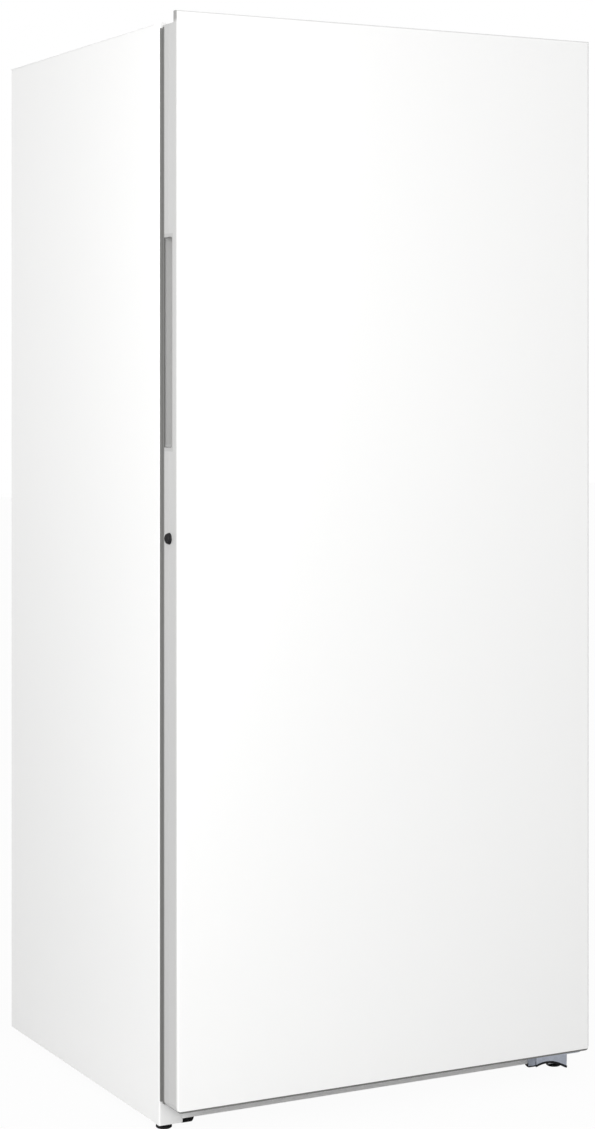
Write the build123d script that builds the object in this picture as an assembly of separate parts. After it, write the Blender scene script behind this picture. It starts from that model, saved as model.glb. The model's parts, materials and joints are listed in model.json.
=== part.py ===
from build123d import *

import os
from math import cos, pi, sin

# Upright freezer with one door, hinged on the right. Millimetres, +Z up.
# The origin is on the floor, under the middle of the cabinet and door; the door faces -Y.
# Only the lock's barrel stands proud of WIDTH, by LOCK_OUT on the left.

# --- driving dimensions -----------------------------------------------------
WIDTH = 838.0
DEPTH = 785.0
CABINET_TOP = 1899.0
LIP_TOP = 1911.4

HALF = WIDTH / 2
DOOR_FRONT = -DEPTH / 2
DOOR_THICK = 58.0
GASKET_GAP = 14.2
SCREW_HEAD = 1.5
REAR = DEPTH / 2 - SCREW_HEAD
DOOR_BACK = DOOR_FRONT + DOOR_THICK
CABINET_FRONT = DOOR_BACK + GASKET_GAP

SHEET = 1.0  # painted steel skins
PLASTIC = 2.5  # moulded liners and covers
BRACKET = 3.0  # hinge steel

# cabinet casing
SIDE_BOTTOM = 10.0
HEM = 22.0  # raised strip along the front of each side panel
HEM_STEP = 0.8
FRONT_FLANGE = 44.0
REAR_FLANGE = 14.0
TOP_FLANGE = 56.0
CORNER_R = 3.0
SKIN_IN = HALF - HEM_STEP - SHEET  # inner face of a side panel

# insulated walls, by the outer face of the inner liner
LINER_X = 361.0
LINER_BACK = 325.0
LINER_BOTTOM = 130.0
LINER_TOP = 1828.0
LINER_LIP = 14.0
STEP_Y = 105.0  # the liner climbs over the machine compartment behind this
STEP_Z = 350.0
BAY_Y = 160.0  # machine compartment, front wall
BAY_Z = 290.0  # machine compartment, ceiling
BASE_TOP = 60.0

# inside of the cabinet
SHELF_LEVELS = [440.0, 718.0, 996.0, 1274.0, 1552.0]
SHELF_X = 350.0
SHELF_FRONT = -203.0
SHELF_BACK = 256.0
GLASS = 4.0
COVER_Y = 262.0  # front face of the evaporator cover
BASKET_X = 337.0
BASKET_FRONT = -196.0
BASKET_BACK = 92.0
BASKET_BOTTOM = 152.0
BASKET_TOP = 338.0
BASKET_WALL = 4.0
RAIL_Z = 330.0
RAIL_THICK = 3.0
RAIL_FRONT = -270.0
RAIL_BACK = 96.0

# door
DOOR_BOTTOM = 51.4
DOOR_TOP = 1892.0
LIP_DEPTH = 14.0
DOOR_R = 5.0
BOTTOM_R = 10.0  # rounded lower corners of the door
CAP_LOW = DOOR_BOTTOM - 2.0  # the bottom cap shows under the steel skin
SKIN_BACK = -360.0  # the steel skin wraps the sides back to here
CAP = 14.6
TRIM = 9.0
SEAM = 0.8  # chamfer of the trims where they meet the skin
DYKE_OUT = 345.0
DYKE_IN = 301.0
DYKE_BACK = -285.0
DYKE_BOTTOM = 150.0
DYKE_TOP = 1812.0
GASKET_LATCH = 418.0  # the gasket reaches almost to the door's edge, except at the hinges
GASKET_HINGE = 400.0
GASKET_WIDE = 28.0
GASKET_BOTTOM = 53.0
GASKET_TOP = 1889.0
BIN_LEVELS = [202.0, 517.0, 832.0, 1147.0, 1462.0]
BIN_X = 297.0
BIN_BACK = -222.0
BIN_HIGH = 95.0

# handle pocket in the left edge of the door
POCKET_LOW = 1172.0
POCKET_HIGH = 1530.0
POCKET_FRONT = -373.0
POCKET_REAR = -338.0
POCKET_DEEP = 28.0
POCKET_WALL = 3.0

# lock in the left edge of the door
LOCK_Y = -362.0
LOCK_Z = 1018.0
LOCK_R = 8.8
LOCK_OUT = 6.5
PLUG_R = 7.0
CAM_REACH = 51.0
CAM_X = -413.0
CAM_THICK = 2.0
CAM_GAP = 0.6
CAM_WIDE = 12.0
STRIKE_X = (-416.0, -407.0)  # cup behind the cabinet's front flange
STRIKE_Z = (LOCK_Z - 13, LOCK_Z + 37)
STRIKE_DEEP = 13.0

# hinges
HINGE_X = 402.0
HINGE_Y = -362.0
PIN_R = 6.0
BUSH_R = 9.0
RUNNING = 0.05  # radial clearance of pins and axles

# feet and rollers
FOOT_X = 401.0
FOOT_Y = -300.0
FOOT_R = 14.0
STEM_R = 5.0
ROLLER_X = 358.0
ROLLER_R = 20.0
AXLE_R = 3.0
ROLLER_WIDE = 18.0
ROLLERS = {
    "front_left": (-ROLLER_X, -292.0, ROLLER_R + 1),
    "front_right": (ROLLER_X, -292.0, ROLLER_R + 1),
    "rear_left": (-ROLLER_X, 340.0, ROLLER_R),
    "rear_right": (ROLLER_X, 340.0, ROLLER_R),
}

# machine compartment
COMPRESSOR_X, COMPRESSOR_Y = 205.0, 272.0
FAN_Y, FAN_Z = 275.0, 165.0
SHROUD_X = -112.0


# --- helpers ----------------------------------------------------------------
def block(x0, x1, y0, y1, z0, z1):
    """Box between two corners."""
    middle = Pos((x0 + x1) / 2, (y0 + y1) / 2, (z0 + z1) / 2)
    return middle * Box(x1 - x0, y1 - y0, z1 - z0)


def rod(axis, radius, start, end, a, b):
    """Cylinder along X, Y or Z from start to end; a and b are its other two coordinates."""
    middle = (start + end) / 2
    place, turn = {
        "x": ((middle, a, b), Rot(0, 90, 0)),
        "y": ((a, middle, b), Rot(90, 0, 0)),
        "z": ((a, b, middle), Rot(0, 0, 0)),
    }[axis]
    return Pos(*place) * turn * Cylinder(radius, end - start)


def upright_edges(shape, *places):
    """Edges along Z that stand at the given (x, y) places."""
    found = []
    for edge in shape.edges().filter_by(Axis.Z):
        middle = edge.center()
        if any(abs(middle.X - x) < 0.01 and abs(middle.Y - y) < 0.01 for x, y in places):
            found.append(edge)
    return found


def solids_in_one(shapes):
    """Separate touching solids kept apart in one node."""
    return Compound([solid for shape in shapes for solid in shape.solids()])


def screws(axis, head_r, head_at, head_to, shank_r, shank_to, places):
    """Pan-head screws along one axis, from the head's outer face to the shank's tip."""
    group = []
    for a, b in places:
        head = rod(axis, head_r, min(head_at, head_to), max(head_at, head_to), a, b)
        shank = rod(axis, shank_r, min(head_to, shank_to), max(head_to, shank_to), a, b)
        group.append(head + shank)
    return solids_in_one(group)


def tube(points, radius, bend):
    """Round bar along straight runs with rounded corners."""
    path = FilletPolyline(*points, radius=bend)
    start = Plane(origin=path @ 0, z_dir=path % 0)
    return sweep(start * Circle(radius), path)


# --- cabinet casing ---------------------------------------------------------
def side_panel():
    """Right side panel: flat skin, raised front hem, front and rear flanges."""
    top = CABINET_TOP - SHEET
    skin_out = HALF - HEM_STEP
    hem_back = CABINET_FRONT + HEM
    panel = block(HALF - SHEET, HALF, CABINET_FRONT, hem_back, SIDE_BOTTOM, top)
    panel += block(SKIN_IN, HALF, hem_back - SHEET, hem_back, SIDE_BOTTOM, top)
    panel += block(SKIN_IN, skin_out, hem_back - SHEET, REAR, SIDE_BOTTOM, top)
    panel += block(HALF - FRONT_FLANGE, HALF, CABINET_FRONT, CABINET_FRONT + SHEET,
                   SIDE_BOTTOM, top)
    panel += block(skin_out - REAR_FLANGE, skin_out, REAR - SHEET, REAR, SIDE_BOTTOM, top)
    inner = upright_edges(panel, (HALF - SHEET, CABINET_FRONT + SHEET),
                          (SKIN_IN, REAR - SHEET))
    panel = fillet(inner, CORNER_R - SHEET)
    outer = upright_edges(panel, (HALF, CABINET_FRONT), (skin_out, REAR))
    return fillet(outer, CORNER_R)


def lock_slot():
    """Slot in the left front flange, and the room behind it, that the lock's cam enters."""
    return block(-415.5, -408.5, CABINET_FRONT - 1, CABINET_FRONT + STRIKE_DEEP,
                 LOCK_Z - 10, LOCK_Z + 34)


def lock_strike():
    """Plastic cup behind the slot in the left front flange."""
    behind = CABINET_FRONT + SHEET
    return block(*STRIKE_X, behind, behind + STRIKE_DEEP, *STRIKE_Z) - lock_slot()


def top_panel():
    """Top skin with a flange folded down at the front."""
    skin = block(-HALF, HALF, CABINET_FRONT, REAR, CABINET_TOP - SHEET, CABINET_TOP)
    flange = block(FRONT_FLANGE - HALF, HALF - FRONT_FLANGE, CABINET_FRONT,
                   CABINET_FRONT + SHEET, CABINET_TOP - TOP_FLANGE, CABINET_TOP - SHEET)
    return skin + flange


def rear_panel():
    """Flat back skin above the machine compartment."""
    edge = HALF - HEM_STEP - REAR_FLANGE
    return block(-edge, edge, REAR - SHEET, REAR, BAY_Z, CABINET_TOP - SHEET)


def lower_front_rail():
    """Steel strip under the cabinet opening that the gasket seals on."""
    edge = HALF - FRONT_FLANGE
    return block(-edge, edge, CABINET_FRONT, CABINET_FRONT + SHEET, BASE_TOP,
                 LINER_BOTTOM - LINER_LIP)


def cabinet_insulation():
    """Foam walls between the steel skins and the liner."""
    front = CABINET_FRONT + PLASTIC
    back = REAR - SHEET
    top = CABINET_TOP - SHEET
    slabs = []
    for side in (-1, 1):
        x0, x1 = sorted((side * LINER_X, side * SKIN_IN))
        wall = block(x0, x1, front, back, BAY_Z, top)
        corner = upright_edges(wall, (side * SKIN_IN, back))
        slabs.append(fillet(corner, CORNER_R - SHEET) - top_hinge_screws())
        slabs.append(block(x0, x1, front, BAY_Y, BASE_TOP, BAY_Z))
    slabs.append(block(-LINER_X, LINER_X, front, back, LINER_TOP, top))
    slabs.append(block(-LINER_X, LINER_X, LINER_BACK, back, STEP_Z, LINER_TOP))
    slabs.append(block(-LINER_X, LINER_X, STEP_Y, back, BAY_Z, STEP_Z))
    slabs.append(block(-LINER_X, LINER_X, STEP_Y, BAY_Y, BASE_TOP, BAY_Z))
    slabs.append(block(-LINER_X, LINER_X, front, STEP_Y, BASE_TOP, LINER_BOTTOM))
    cup = block(*STRIKE_X, front - 1, CABINET_FRONT + SHEET + STRIKE_DEEP, *STRIKE_Z)
    return solids_in_one([slab - cup for slab in slabs])


def machine_bay_lining():
    """Folded steel that closes the foam above the machine compartment."""
    wall = block(-LINER_X, LINER_X, BAY_Y, BAY_Y + SHEET, BASE_TOP + 2, BAY_Z)
    ceiling = block(-LINER_X, LINER_X, BAY_Y, REAR - SHEET, BAY_Z - SHEET, BAY_Z)
    return wall + ceiling


def inner_liner():
    """Moulded liner with a step over the machine compartment and shelf ribs."""
    x, t = LINER_X, PLASTIC
    outer = block(-x, x, CABINET_FRONT, LINER_BACK, LINER_BOTTOM, LINER_TOP)
    outer -= block(-x, x, STEP_Y, LINER_BACK, LINER_BOTTOM, STEP_Z)
    inner = block(t - x, x - t, CABINET_FRONT, LINER_BACK - t, LINER_BOTTOM + t,
                  LINER_TOP - t)
    inner -= block(-x, x, STEP_Y - t, LINER_BACK, LINER_BOTTOM, STEP_Z + t)
    lip = block(-x - LINER_LIP, x + LINER_LIP, CABINET_FRONT, CABINET_FRONT + t,
                LINER_BOTTOM - LINER_LIP, LINER_TOP + LINER_LIP)
    liner = outer + lip - inner
    rib_back = SHELF_BACK - 2
    for level in SHELF_LEVELS:
        for side in (-1, 1):
            x0, x1 = sorted((side * (SHELF_X - 6), side * (x - t / 2)))
            liner += block(x0, x1, SHELF_FRONT + 22, rib_back, level - 10, level)
    return liner


# --- base -------------------------------------------------------------------
def bracket_screw_places():
    return [(HALF - 70, 28.0), (HALF - 20, 28.0)]


def hinge_screws_low():
    return screws("y", 6, CABINET_FRONT - BRACKET - 4, CABINET_FRONT - BRACKET, 3,
                  CABINET_FRONT + 8, bracket_screw_places())


def base_frame():
    """Side channels, cross members, and corner plates with weld nuts for the feet."""
    rear = REAR - 3
    front = CABINET_FRONT + 2
    frame = block(-416, 416, front, front + 2, 20, BASE_TOP)
    frame += block(-416, 416, rear - 2, rear, 24, BASE_TOP)
    for side in (-1, 1):
        web = sorted((side * 414, side * 416))
        flange = sorted((side * 340, side * 416))
        corner = sorted((side * 385, side * 416))
        frame += block(*web, front, rear, 14, BASE_TOP)
        frame += block(*flange, front, rear, BASE_TOP - 2, BASE_TOP)
        frame += block(*corner, front, FOOT_Y + 22, 40, 43)
        frame += Pos(side * FOOT_X, FOOT_Y, 32) * extrude(RegularPolygon(9, 6), 8)
        frame -= rod("z", STEM_R + RUNNING, 30, BASE_TOP + 5, side * FOOT_X, FOOT_Y)
    return frame - hinge_screws_low()


def kick_plate():
    """Painted strip across the front, under the door."""
    plate = block(-415, 415, CABINET_FRONT, CABINET_FRONT + 2, 17, BASE_TOP - 2)
    for side in (-1, 1):
        x0, x1 = sorted((side * (HALF - FRONT_FLANGE), side * HALF))
        plate -= block(x0, x1, CABINET_FRONT - 1, CABINET_FRONT + SHEET, 0, 100)
    return plate - hinge_screws_low()


def compressor_tray():
    return block(-413, 413, BAY_Y + 6, REAR - 6, BASE_TOP, BASE_TOP + 1.5)


def roller_brackets():
    """Folded fork over each roller."""
    group = []
    for x, y, z in ROLLERS.values():
        half = ROLLER_WIDE / 2 + 1.5
        fork = block(x - half - 2, x + half + 2, y - 16, y + 16, BASE_TOP - 4, BASE_TOP - 2)
        for side in (-1, 1):
            x0, x1 = sorted((x + side * half, x + side * (half + 2)))
            fork += block(x0, x1, y - 16, y + 16, z - 7, BASE_TOP - 2)
        group.append(fork - rod("x", AXLE_R, x - 30, x + 30, y, z))
    return solids_in_one(group)


def roller_axles():
    half = ROLLER_WIDE / 2 + 4.5
    return solids_in_one(
        rod("x", AXLE_R, x - half, x + half, y, z) for x, y, z in ROLLERS.values())


def roller(x, y, z):
    """Plastic wheel with a hub and a grooved rim."""
    half = ROLLER_WIDE / 2
    wheel = rod("x", ROLLER_R, x - half, x + half, y, z)
    for side in (-1, 1):
        x0, x1 = sorted((x + side * (half - 4), x + side * (half + 1)))
        wheel -= rod("x", ROLLER_R - 4, x0, x1, y, z) - rod("x", 7, x0, x1, y, z)
    return wheel - rod("x", AXLE_R + RUNNING, x - 30, x + 30, y, z)


def foot(side):
    """Levelling foot: round pad with a threaded stem and spanner flats."""
    x = side * FOOT_X
    pad = rod("z", FOOT_R, 0, 9, x, FOOT_Y)
    pad = fillet(pad.edges().filter_by(GeomType.CIRCLE), 1.5)
    flats = Pos(x, FOOT_Y, 9) * extrude(RegularPolygon(9, 6), 5)
    return pad + flats + rod("z", STEM_R, 9, 56, x, FOOT_Y)


# --- machine compartment ----------------------------------------------------
def compressor():
    """Welded pot with a base plate."""
    x, y = COMPRESSOR_X, COMPRESSOR_Y
    bowl = rod("z", 78, 88, 165, x, y)
    bowl = fillet(bowl.edges().group_by(Axis.Z)[0], 24)
    dome = rod("z", 78, 165, 240, x, y)
    dome = fillet(dome.edges().group_by(Axis.Z)[-1], 38)
    seam = rod("z", 82, 162, 168, x, y)
    plate = block(x - 100, x + 100, y - 62, y + 62, 85, 89)
    plate = fillet(plate.edges().filter_by(Axis.Z), 14)
    for dx, dy in grommet_offsets():
        plate -= rod("z", 7, 80, 95, x + dx, y + dy)
    return bowl + dome + seam + plate


def grommet_offsets():
    return [(dx, dy) for dx in (-84, 84) for dy in (-46, 46)]


def compressor_grommets():
    """Rubber feet between the compressor's plate and the tray."""
    group = []
    for dx, dy in grommet_offsets():
        x, y = COMPRESSOR_X + dx, COMPRESSOR_Y + dy
        body = rod("z", 12, BASE_TOP + 1.5, 85, x, y) + rod("z", 7, 85, 92, x, y)
        group.append(body - rod("z", 4, BASE_TOP, 95, x, y))
    return solids_in_one(group)


def relay_cover():
    """Plastic box over the compressor's terminals."""
    x, y = COMPRESSOR_X, COMPRESSOR_Y
    box = block(x - 112, x - 60, y - 30, y + 30, 110, 182)
    box = fillet(box.edges().filter_by(Axis.X), 5)
    return box - rod("z", 82.3, 100, 200, x, y)


def fin_pack(x0, x1, y0, y1, z0, z1, count, rows, columns, tube_r):
    """Flat fins threaded on straight tubes along X."""
    pack = None
    pitch = (x1 - x0 - SHEET) / (count - 1)
    for i in range(count):
        fin = block(x0 + i * pitch, x0 + i * pitch + SHEET, y0, y1, z0, z1)
        pack = fin if pack is None else pack + fin
    for row in range(rows):
        for column in range(columns):
            y = y0 + (y1 - y0) * (column + 0.5) / columns
            z = z0 + (z1 - z0) * (row + 0.5) / rows
            pack += rod("x", tube_r, x0 - 8, x1 + 8, y, z)
    return pack


def condenser_coil():
    return fin_pack(-318, -128, 195, 355, 72, 258, 16, 4, 3, 4)


def condenser_fan_shroud():
    """Plate with a round opening and three arms that hold the motor."""
    plate = block(SHROUD_X, SHROUD_X + 2, FAN_Y - 98, FAN_Y + 98, BASE_TOP + 1.5, 268)
    plate -= rod("x", 82, SHROUD_X - 5, SHROUD_X + 5, FAN_Y, FAN_Z)
    ring = rod("x", 84, SHROUD_X, SHROUD_X + 20, FAN_Y, FAN_Z)
    ring -= rod("x", 82, SHROUD_X - 1, SHROUD_X + 21, FAN_Y, FAN_Z)
    shroud = plate + ring
    for turn in (90, 210, 330):
        arm = Pos(SHROUD_X + 29, 0, 56) * Box(3, 10, 58)
        leg = Pos(SHROUD_X + 24.5, 0, 83.5) * Box(12, 10, 3)
        shroud += Pos(0, FAN_Y, FAN_Z) * Rot(turn, 0, 0) * (arm + leg)
    return shroud


def condenser_fan_motor():
    motor = rod("x", 27, SHROUD_X + 27.5, SHROUD_X + 62, FAN_Y, FAN_Z)
    motor = fillet(motor.edges().group_by(Axis.X)[-1], 4)
    return motor + rod("x", 2, SHROUD_X + 8, SHROUD_X + 28, FAN_Y, FAN_Z)


def fan_blade(axis, start, a, b, hub_r, reach, deep, count, pitch):
    """Hub with tilted blades, running on its motor's shaft."""
    hub = Cylinder(hub_r, deep) - Cylinder(2 + RUNNING, deep * 2)
    middle = (hub_r + reach) / 2
    blade = Pos(middle - 1, 0, 0) * Rot(pitch, 0, 0) * Box(reach - hub_r + 2, hub_r * 2.2, 2)
    fan = hub
    for i in range(count):
        fan += Rot(0, 0, 360 / count * i) * blade
    fan -= Cylinder(2 + RUNNING, deep * 4)
    turn = {"x": Rot(0, 90, 0), "y": Rot(90, 0, 0)}[axis]
    centre = start + deep / 2
    place = {"x": (centre, a, b), "y": (a, centre, b)}[axis]
    return Pos(*place) * turn * fan


def drain_pan():
    """Shallow tray that catches defrost water."""
    x0, x1, y0, y1, z0, z1 = -350, -70, 180, 372, 271, 285
    pan = block(x0, x1, y0, y1, z0, z1)
    pan = fillet(pan.edges().filter_by(Axis.Z), 10)
    hollow = block(x0 + 2, x1 - 2, y0 + 2, y1 - 2, z0 + 2, z1 + 1)
    return pan - fillet(hollow.edges().filter_by(Axis.Z), 8)


def filter_drier():
    body = rod("z", 10, 110, 190, -10, 345)
    ends = body.edges().filter_by(GeomType.CIRCLE)
    return fillet(ends, 5)


def refrigerant_tubes():
    """Discharge, condenser outlet and suction lines."""
    x, y = COMPRESSOR_X, COMPRESSOR_Y
    front = y - 101
    discharge = tube([(x, y - 78.3, 130), (x, front, 130), (x - 120, front, 130),
                      (x - 120, front, 265), (-240, front, 265), (-240, front, 100),
                      (-240, 194, 100)], 3, 6)
    outlet = tube([(-10, 345, 110), (-10, 345, 85), (-90, 345, 85), (-90, 365, 85)], 3, 8)
    suction = tube([(x + 78.3, y, 150), (x + 105, y, 150), (x + 105, y, 288)], 4, 12)
    capillary = tube([(-10, 345, 190), (-10, 345, 230), (-10, 368, 230), (-10, 368, 288)],
                     2, 8)
    return solids_in_one([discharge, outlet, suction, capillary])


def machine_cover_screws():
    places = [(x, z) for x in (-386, 0, 386) for z in (74, 278)]
    return screws("y", 5, REAR + SCREW_HEAD, REAR, 2, REAR - 2, places)


def machine_cover():
    """Slotted steel cover over the machine compartment."""
    edge = HALF - HEM_STEP - REAR_FLANGE
    cover = block(-edge, edge, REAR - SHEET, REAR, BASE_TOP + 2, BAY_Z)
    for column in range(22):
        x = -346 + column * 33
        if not 250 < x < 330:
            for low, high in ((90, 165), (182, 257)):
                cover -= block(x, x + 7, REAR - 3, REAR + 1, low, high)
    cover -= rod("y", 9, REAR - 5, REAR + 5, 290, 120)
    return cover - machine_cover_screws()


def cord_gland():
    """Bush in the machine cover where the supply lead comes through."""
    gland = rod("y", 9, REAR - 6, REAR + 0.5, 290, 120)
    gland += rod("y", 12, REAR, REAR + SCREW_HEAD, 290, 120)
    gland += rod("y", 12, REAR - 6, REAR - SHEET, 290, 120)
    return gland - rod("y", 4, REAR - 10, REAR + 5, 290, 120)


# --- cold side --------------------------------------------------------------
def evaporator_cover():
    """Inner back panel with a fan grille and return slots."""
    cover = block(-352, 352, COVER_Y, COVER_Y + 4, STEP_Z + PLASTIC + 1, 1822)
    for row in range(9):
        z = 1606 + row * 16
        half = 90 - abs(row - 4) * 12
        cover -= block(-half, half, COVER_Y - 1, COVER_Y + 5, z, z + 8)
    for column in range(15):
        x = -282 + column * 40
        cover -= block(x - 12, x + 12, COVER_Y - 1, COVER_Y + 5, 366, 372)
    for level in SHELF_LEVELS:
        for side in (-1, 1):
            x0, x1 = sorted((side * 130, side * 210))
            cover -= block(x0, x1, COVER_Y - 1, COVER_Y + 5, level + 120, level + 128)
    return cover


def evaporator_coil():
    return fin_pack(-270, 270, 272, 314, 460, 780, 22, 5, 1, 4)


def defrost_heater():
    """Tube heater with end caps, under the coil."""
    heater = rod("x", 5, -250, 250, 293, 430)
    for side in (-1, 1):
        x0, x1 = sorted((side * 250, side * 268))
        heater += rod("x", 8, x0, x1, 293, 430)
    return heater


def evaporator_fan_motor():
    """Motor on a cross bar behind the inner back panel."""
    motor = rod("y", 24, 296, 318, 0, 1674)
    motor += block(-130, 130, 300, 306, 1664, 1684)
    for side in (-1, 1):
        x0, x1 = sorted((side * 118, side * 130))
        motor += block(x0, x1, COVER_Y + 4, 306, 1664, 1684)
    return motor + rod("y", 2, 274, 297, 0, 1674)


def shelf_glass(level):
    """Toughened glass shelf."""
    plate = block(-SHELF_X, SHELF_X, SHELF_FRONT, SHELF_BACK, level, level + GLASS)
    return fillet(plate.edges().filter_by(Axis.Z), 6)


def shelf_trim(level):
    """Moulded strips along the front and back of a glass shelf."""
    strips = []
    for y0, y1 in ((SHELF_FRONT - 4, SHELF_FRONT + 16), (SHELF_BACK - 10, SHELF_BACK + 3)):
        strip = block(-SHELF_X - 3, SHELF_X + 3, y0, y1, level - 6, level + GLASS + 6)
        strip = fillet(strip.edges().filter_by(Axis.X), 3)
        if y1 > SHELF_BACK:
            for side in (-1, 1):
                x0, x1 = sorted((side * (SHELF_X - 8), side * (SHELF_X + 5)))
                strip -= block(x0, x1, y0 - 1, y1 + 1, level - 10, level)
        strips.append(strip - shelf_glass(level))
    return solids_in_one(strips)


def basket_rails():
    """Angle rails on the liner's side walls that carry the basket."""
    wall = LINER_X - PLASTIC
    group = []
    for side in (-1, 1):
        ledge = sorted((side * (wall - 15), side * wall))
        back = sorted((side * (wall - 2.5), side * wall))
        rail = block(*ledge, RAIL_FRONT, RAIL_BACK, RAIL_Z, RAIL_Z + RAIL_THICK)
        rail += block(*back, RAIL_FRONT, RAIL_BACK, RAIL_Z - 12, RAIL_Z + 16)
        group.append(rail)
    return solids_in_one(group)


def basket():
    """Open basket with a rim that slides on the rails."""
    rim_low = RAIL_Z + RAIL_THICK + 0.4
    wall = BASKET_WALL
    body = block(-BASKET_X, BASKET_X, BASKET_FRONT, BASKET_BACK, BASKET_BOTTOM, BASKET_TOP)
    body = fillet(body.edges().filter_by(Axis.Z), 18)
    hollow = block(wall - BASKET_X, BASKET_X - wall, BASKET_FRONT + wall, BASKET_BACK - wall,
                   BASKET_BOTTOM + wall, BASKET_TOP + 1)
    body -= fillet(hollow.edges().filter_by(Axis.Z), 14)
    for side in (-1, 1):
        x0, x1 = sorted((side * (BASKET_X - wall), side * (BASKET_X + 14)))
        body += block(x0, x1, BASKET_FRONT + 20, BASKET_BACK - 20, rim_low, BASKET_TOP)
    return body


def control_housing():
    """Box under the ceiling for the thermostat, with a shaft for the knob."""
    box = block(-110, 110, -195, -95, 1785, LINER_TOP - PLASTIC)
    box = fillet(box.edges().filter_by(Axis.Z), 10)
    box -= block(-106, 106, -191, -99, 1788, LINER_TOP)
    return box + rod("y", 3, -204, -190, 60, 1806)


def control_knob():
    """Ribbed knob with a pointer."""
    knob = rod("y", 15, -209, -195.5, 60, 1806)
    knob = fillet(knob.edges().group_by(Axis.Y)[0], 2)
    knob += block(58.5, 61.5, -210.5, -208, 1808, 1819)
    for i in range(16):
        angle = 2 * pi * i / 16
        knob -= rod("y", 1, -212, -198, 60 + 15.4 * cos(angle), 1806 + 15.4 * sin(angle))
    return knob - rod("y", 3 + RUNNING, -204.5, -190, 60, 1806)


def lamp_lens():
    """Clear cover of the ceiling lamp."""
    lens = block(-70, 70, -60, -20, 1812, LINER_TOP - PLASTIC)
    lens = fillet(lens.edges().group_by(Axis.Z)[0], 5)
    return lens - block(-67, 67, -57, -23, 1815, LINER_TOP)


def lamp_board():
    """Circuit board with a row of light-emitting diodes."""
    top = LINER_TOP - PLASTIC
    board = block(-60, 60, -50, -30, top - 2, top)
    for i in range(6):
        board += block(-52 + i * 20, -48 + i * 20, -42, -38, top - 4, top - 2)
    return board


# --- hinges -----------------------------------------------------------------
def top_hinge_screw_places():
    return [(366, -296), (388, -296), (377, -266)]


def top_hinge_screws():
    return screws("z", 6, CABINET_TOP + BRACKET + 4, CABINET_TOP + BRACKET, 3,
                  CABINET_TOP - 8, top_hinge_screw_places())


def top_hinge():
    """Steel arm on the cabinet's top, with a pin down into the door."""
    arm = block(354, HINGE_X, HINGE_Y - 12, -250, CABINET_TOP, CABINET_TOP + BRACKET)
    arm += rod("z", 12, CABINET_TOP, CABINET_TOP + BRACKET, HINGE_X, HINGE_Y)
    arm += rod("z", PIN_R, DOOR_TOP - 12, CABINET_TOP, HINGE_X, HINGE_Y)
    return arm - top_hinge_screws()


def top_hinge_cover():
    """Plastic lid over the top hinge."""
    top = LIP_TOP - 0.4
    cover = block(347, HINGE_X, HINGE_Y - 15, -240, CABINET_TOP, top)
    cover += rod("z", 15, CABINET_TOP, top, HINGE_X, HINGE_Y)
    hollow = block(349, HINGE_X - 2, HINGE_Y - 13, -242, CABINET_TOP - 1, top - 2)
    hollow += block(354, HINGE_X, HINGE_Y - 13, -242, CABINET_TOP - 1, CABINET_TOP + BRACKET)
    hollow += rod("z", 13, CABINET_TOP - 1, top - 2, HINGE_X, HINGE_Y)
    return cover - hollow


def bottom_hinge():
    """Folded zinc-plated bracket with a pin up into the door."""
    x0, x1 = 330.0, 411.0
    leg = 397.0
    front, back = -350.0, CABINET_FRONT
    shelf_low = 42.0
    shelf = block(x0, x1 + 4, HINGE_Y - 13, back, shelf_low, shelf_low + BRACKET)
    corners = upright_edges(shelf, (x0, HINGE_Y - 13), (x1 + 4, HINGE_Y - 13))
    shelf = fillet(corners, 10)
    plate = block(x0, x1, back - BRACKET, back, 13, shelf_low)
    lower_edge = ((x0, 18), (348, 24.5), (366, 24.5), (383, 15), (leg, 8))
    arch = Spline(*lower_edge)
    sides = Polyline(lower_edge[-1], (leg, shelf_low), (x0, shelf_low), lower_edge[0])
    outline = make_face([*arch.edges(), *sides.edges()])
    skirt = extrude(Plane.XZ.offset(-front - BRACKET) * outline, BRACKET)
    gusset = block(leg - BRACKET, leg, front, back, 11, shelf_low)
    pin = rod("z", PIN_R, shelf_low + BRACKET, DOOR_BOTTOM + CAP - 2, HINGE_X, HINGE_Y)
    return shelf + plate + skirt + gusset + pin - hinge_screws_low()


# --- door -------------------------------------------------------------------
def door_form(inset, low=DOOR_BOTTOM):
    """Outline of the door's steel skin; inset moves it inwards by the sheet."""
    half, front = HALF - inset, DOOR_FRONT + inset
    form = block(-half, half, front, DOOR_BACK, low, LIP_TOP - inset)
    uprights = upright_edges(form, (-half, front), (half, front))
    top_front = form.edges().filter_by(Axis.X).group_by(Axis.Z)[-1].sort_by(Axis.Y)[0]
    return fillet(uprights + [top_front], DOOR_R - inset)


def lower_corners(low):
    """Door-sized block with its two lower corners rounded."""
    form = block(-HALF, HALF, DOOR_FRONT, DOOR_BACK, low, LIP_TOP)
    return fillet(form.edges().filter_by(Axis.Y).group_by(Axis.Z)[0], BOTTOM_R)


def lock_bore():
    return rod("x", LOCK_R, -HALF - 2, -HALF + TRIM, LOCK_Y, LOCK_Z)


def handle_space():
    """Space of the handle insert in the left edge of the door."""
    return block(-HALF - 1, POCKET_DEEP + POCKET_WALL - HALF, POCKET_FRONT - POCKET_WALL,
                 DOOR_BACK, POCKET_LOW - 6, POCKET_HIGH + 6)


def pin_holes():
    return rod("z", BUSH_R, 40, DOOR_BOTTOM + CAP, HINGE_X, HINGE_Y) + rod(
        "z", BUSH_R, DOOR_TOP - CAP, DOOR_TOP + 30, HINGE_X, HINGE_Y)


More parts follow.
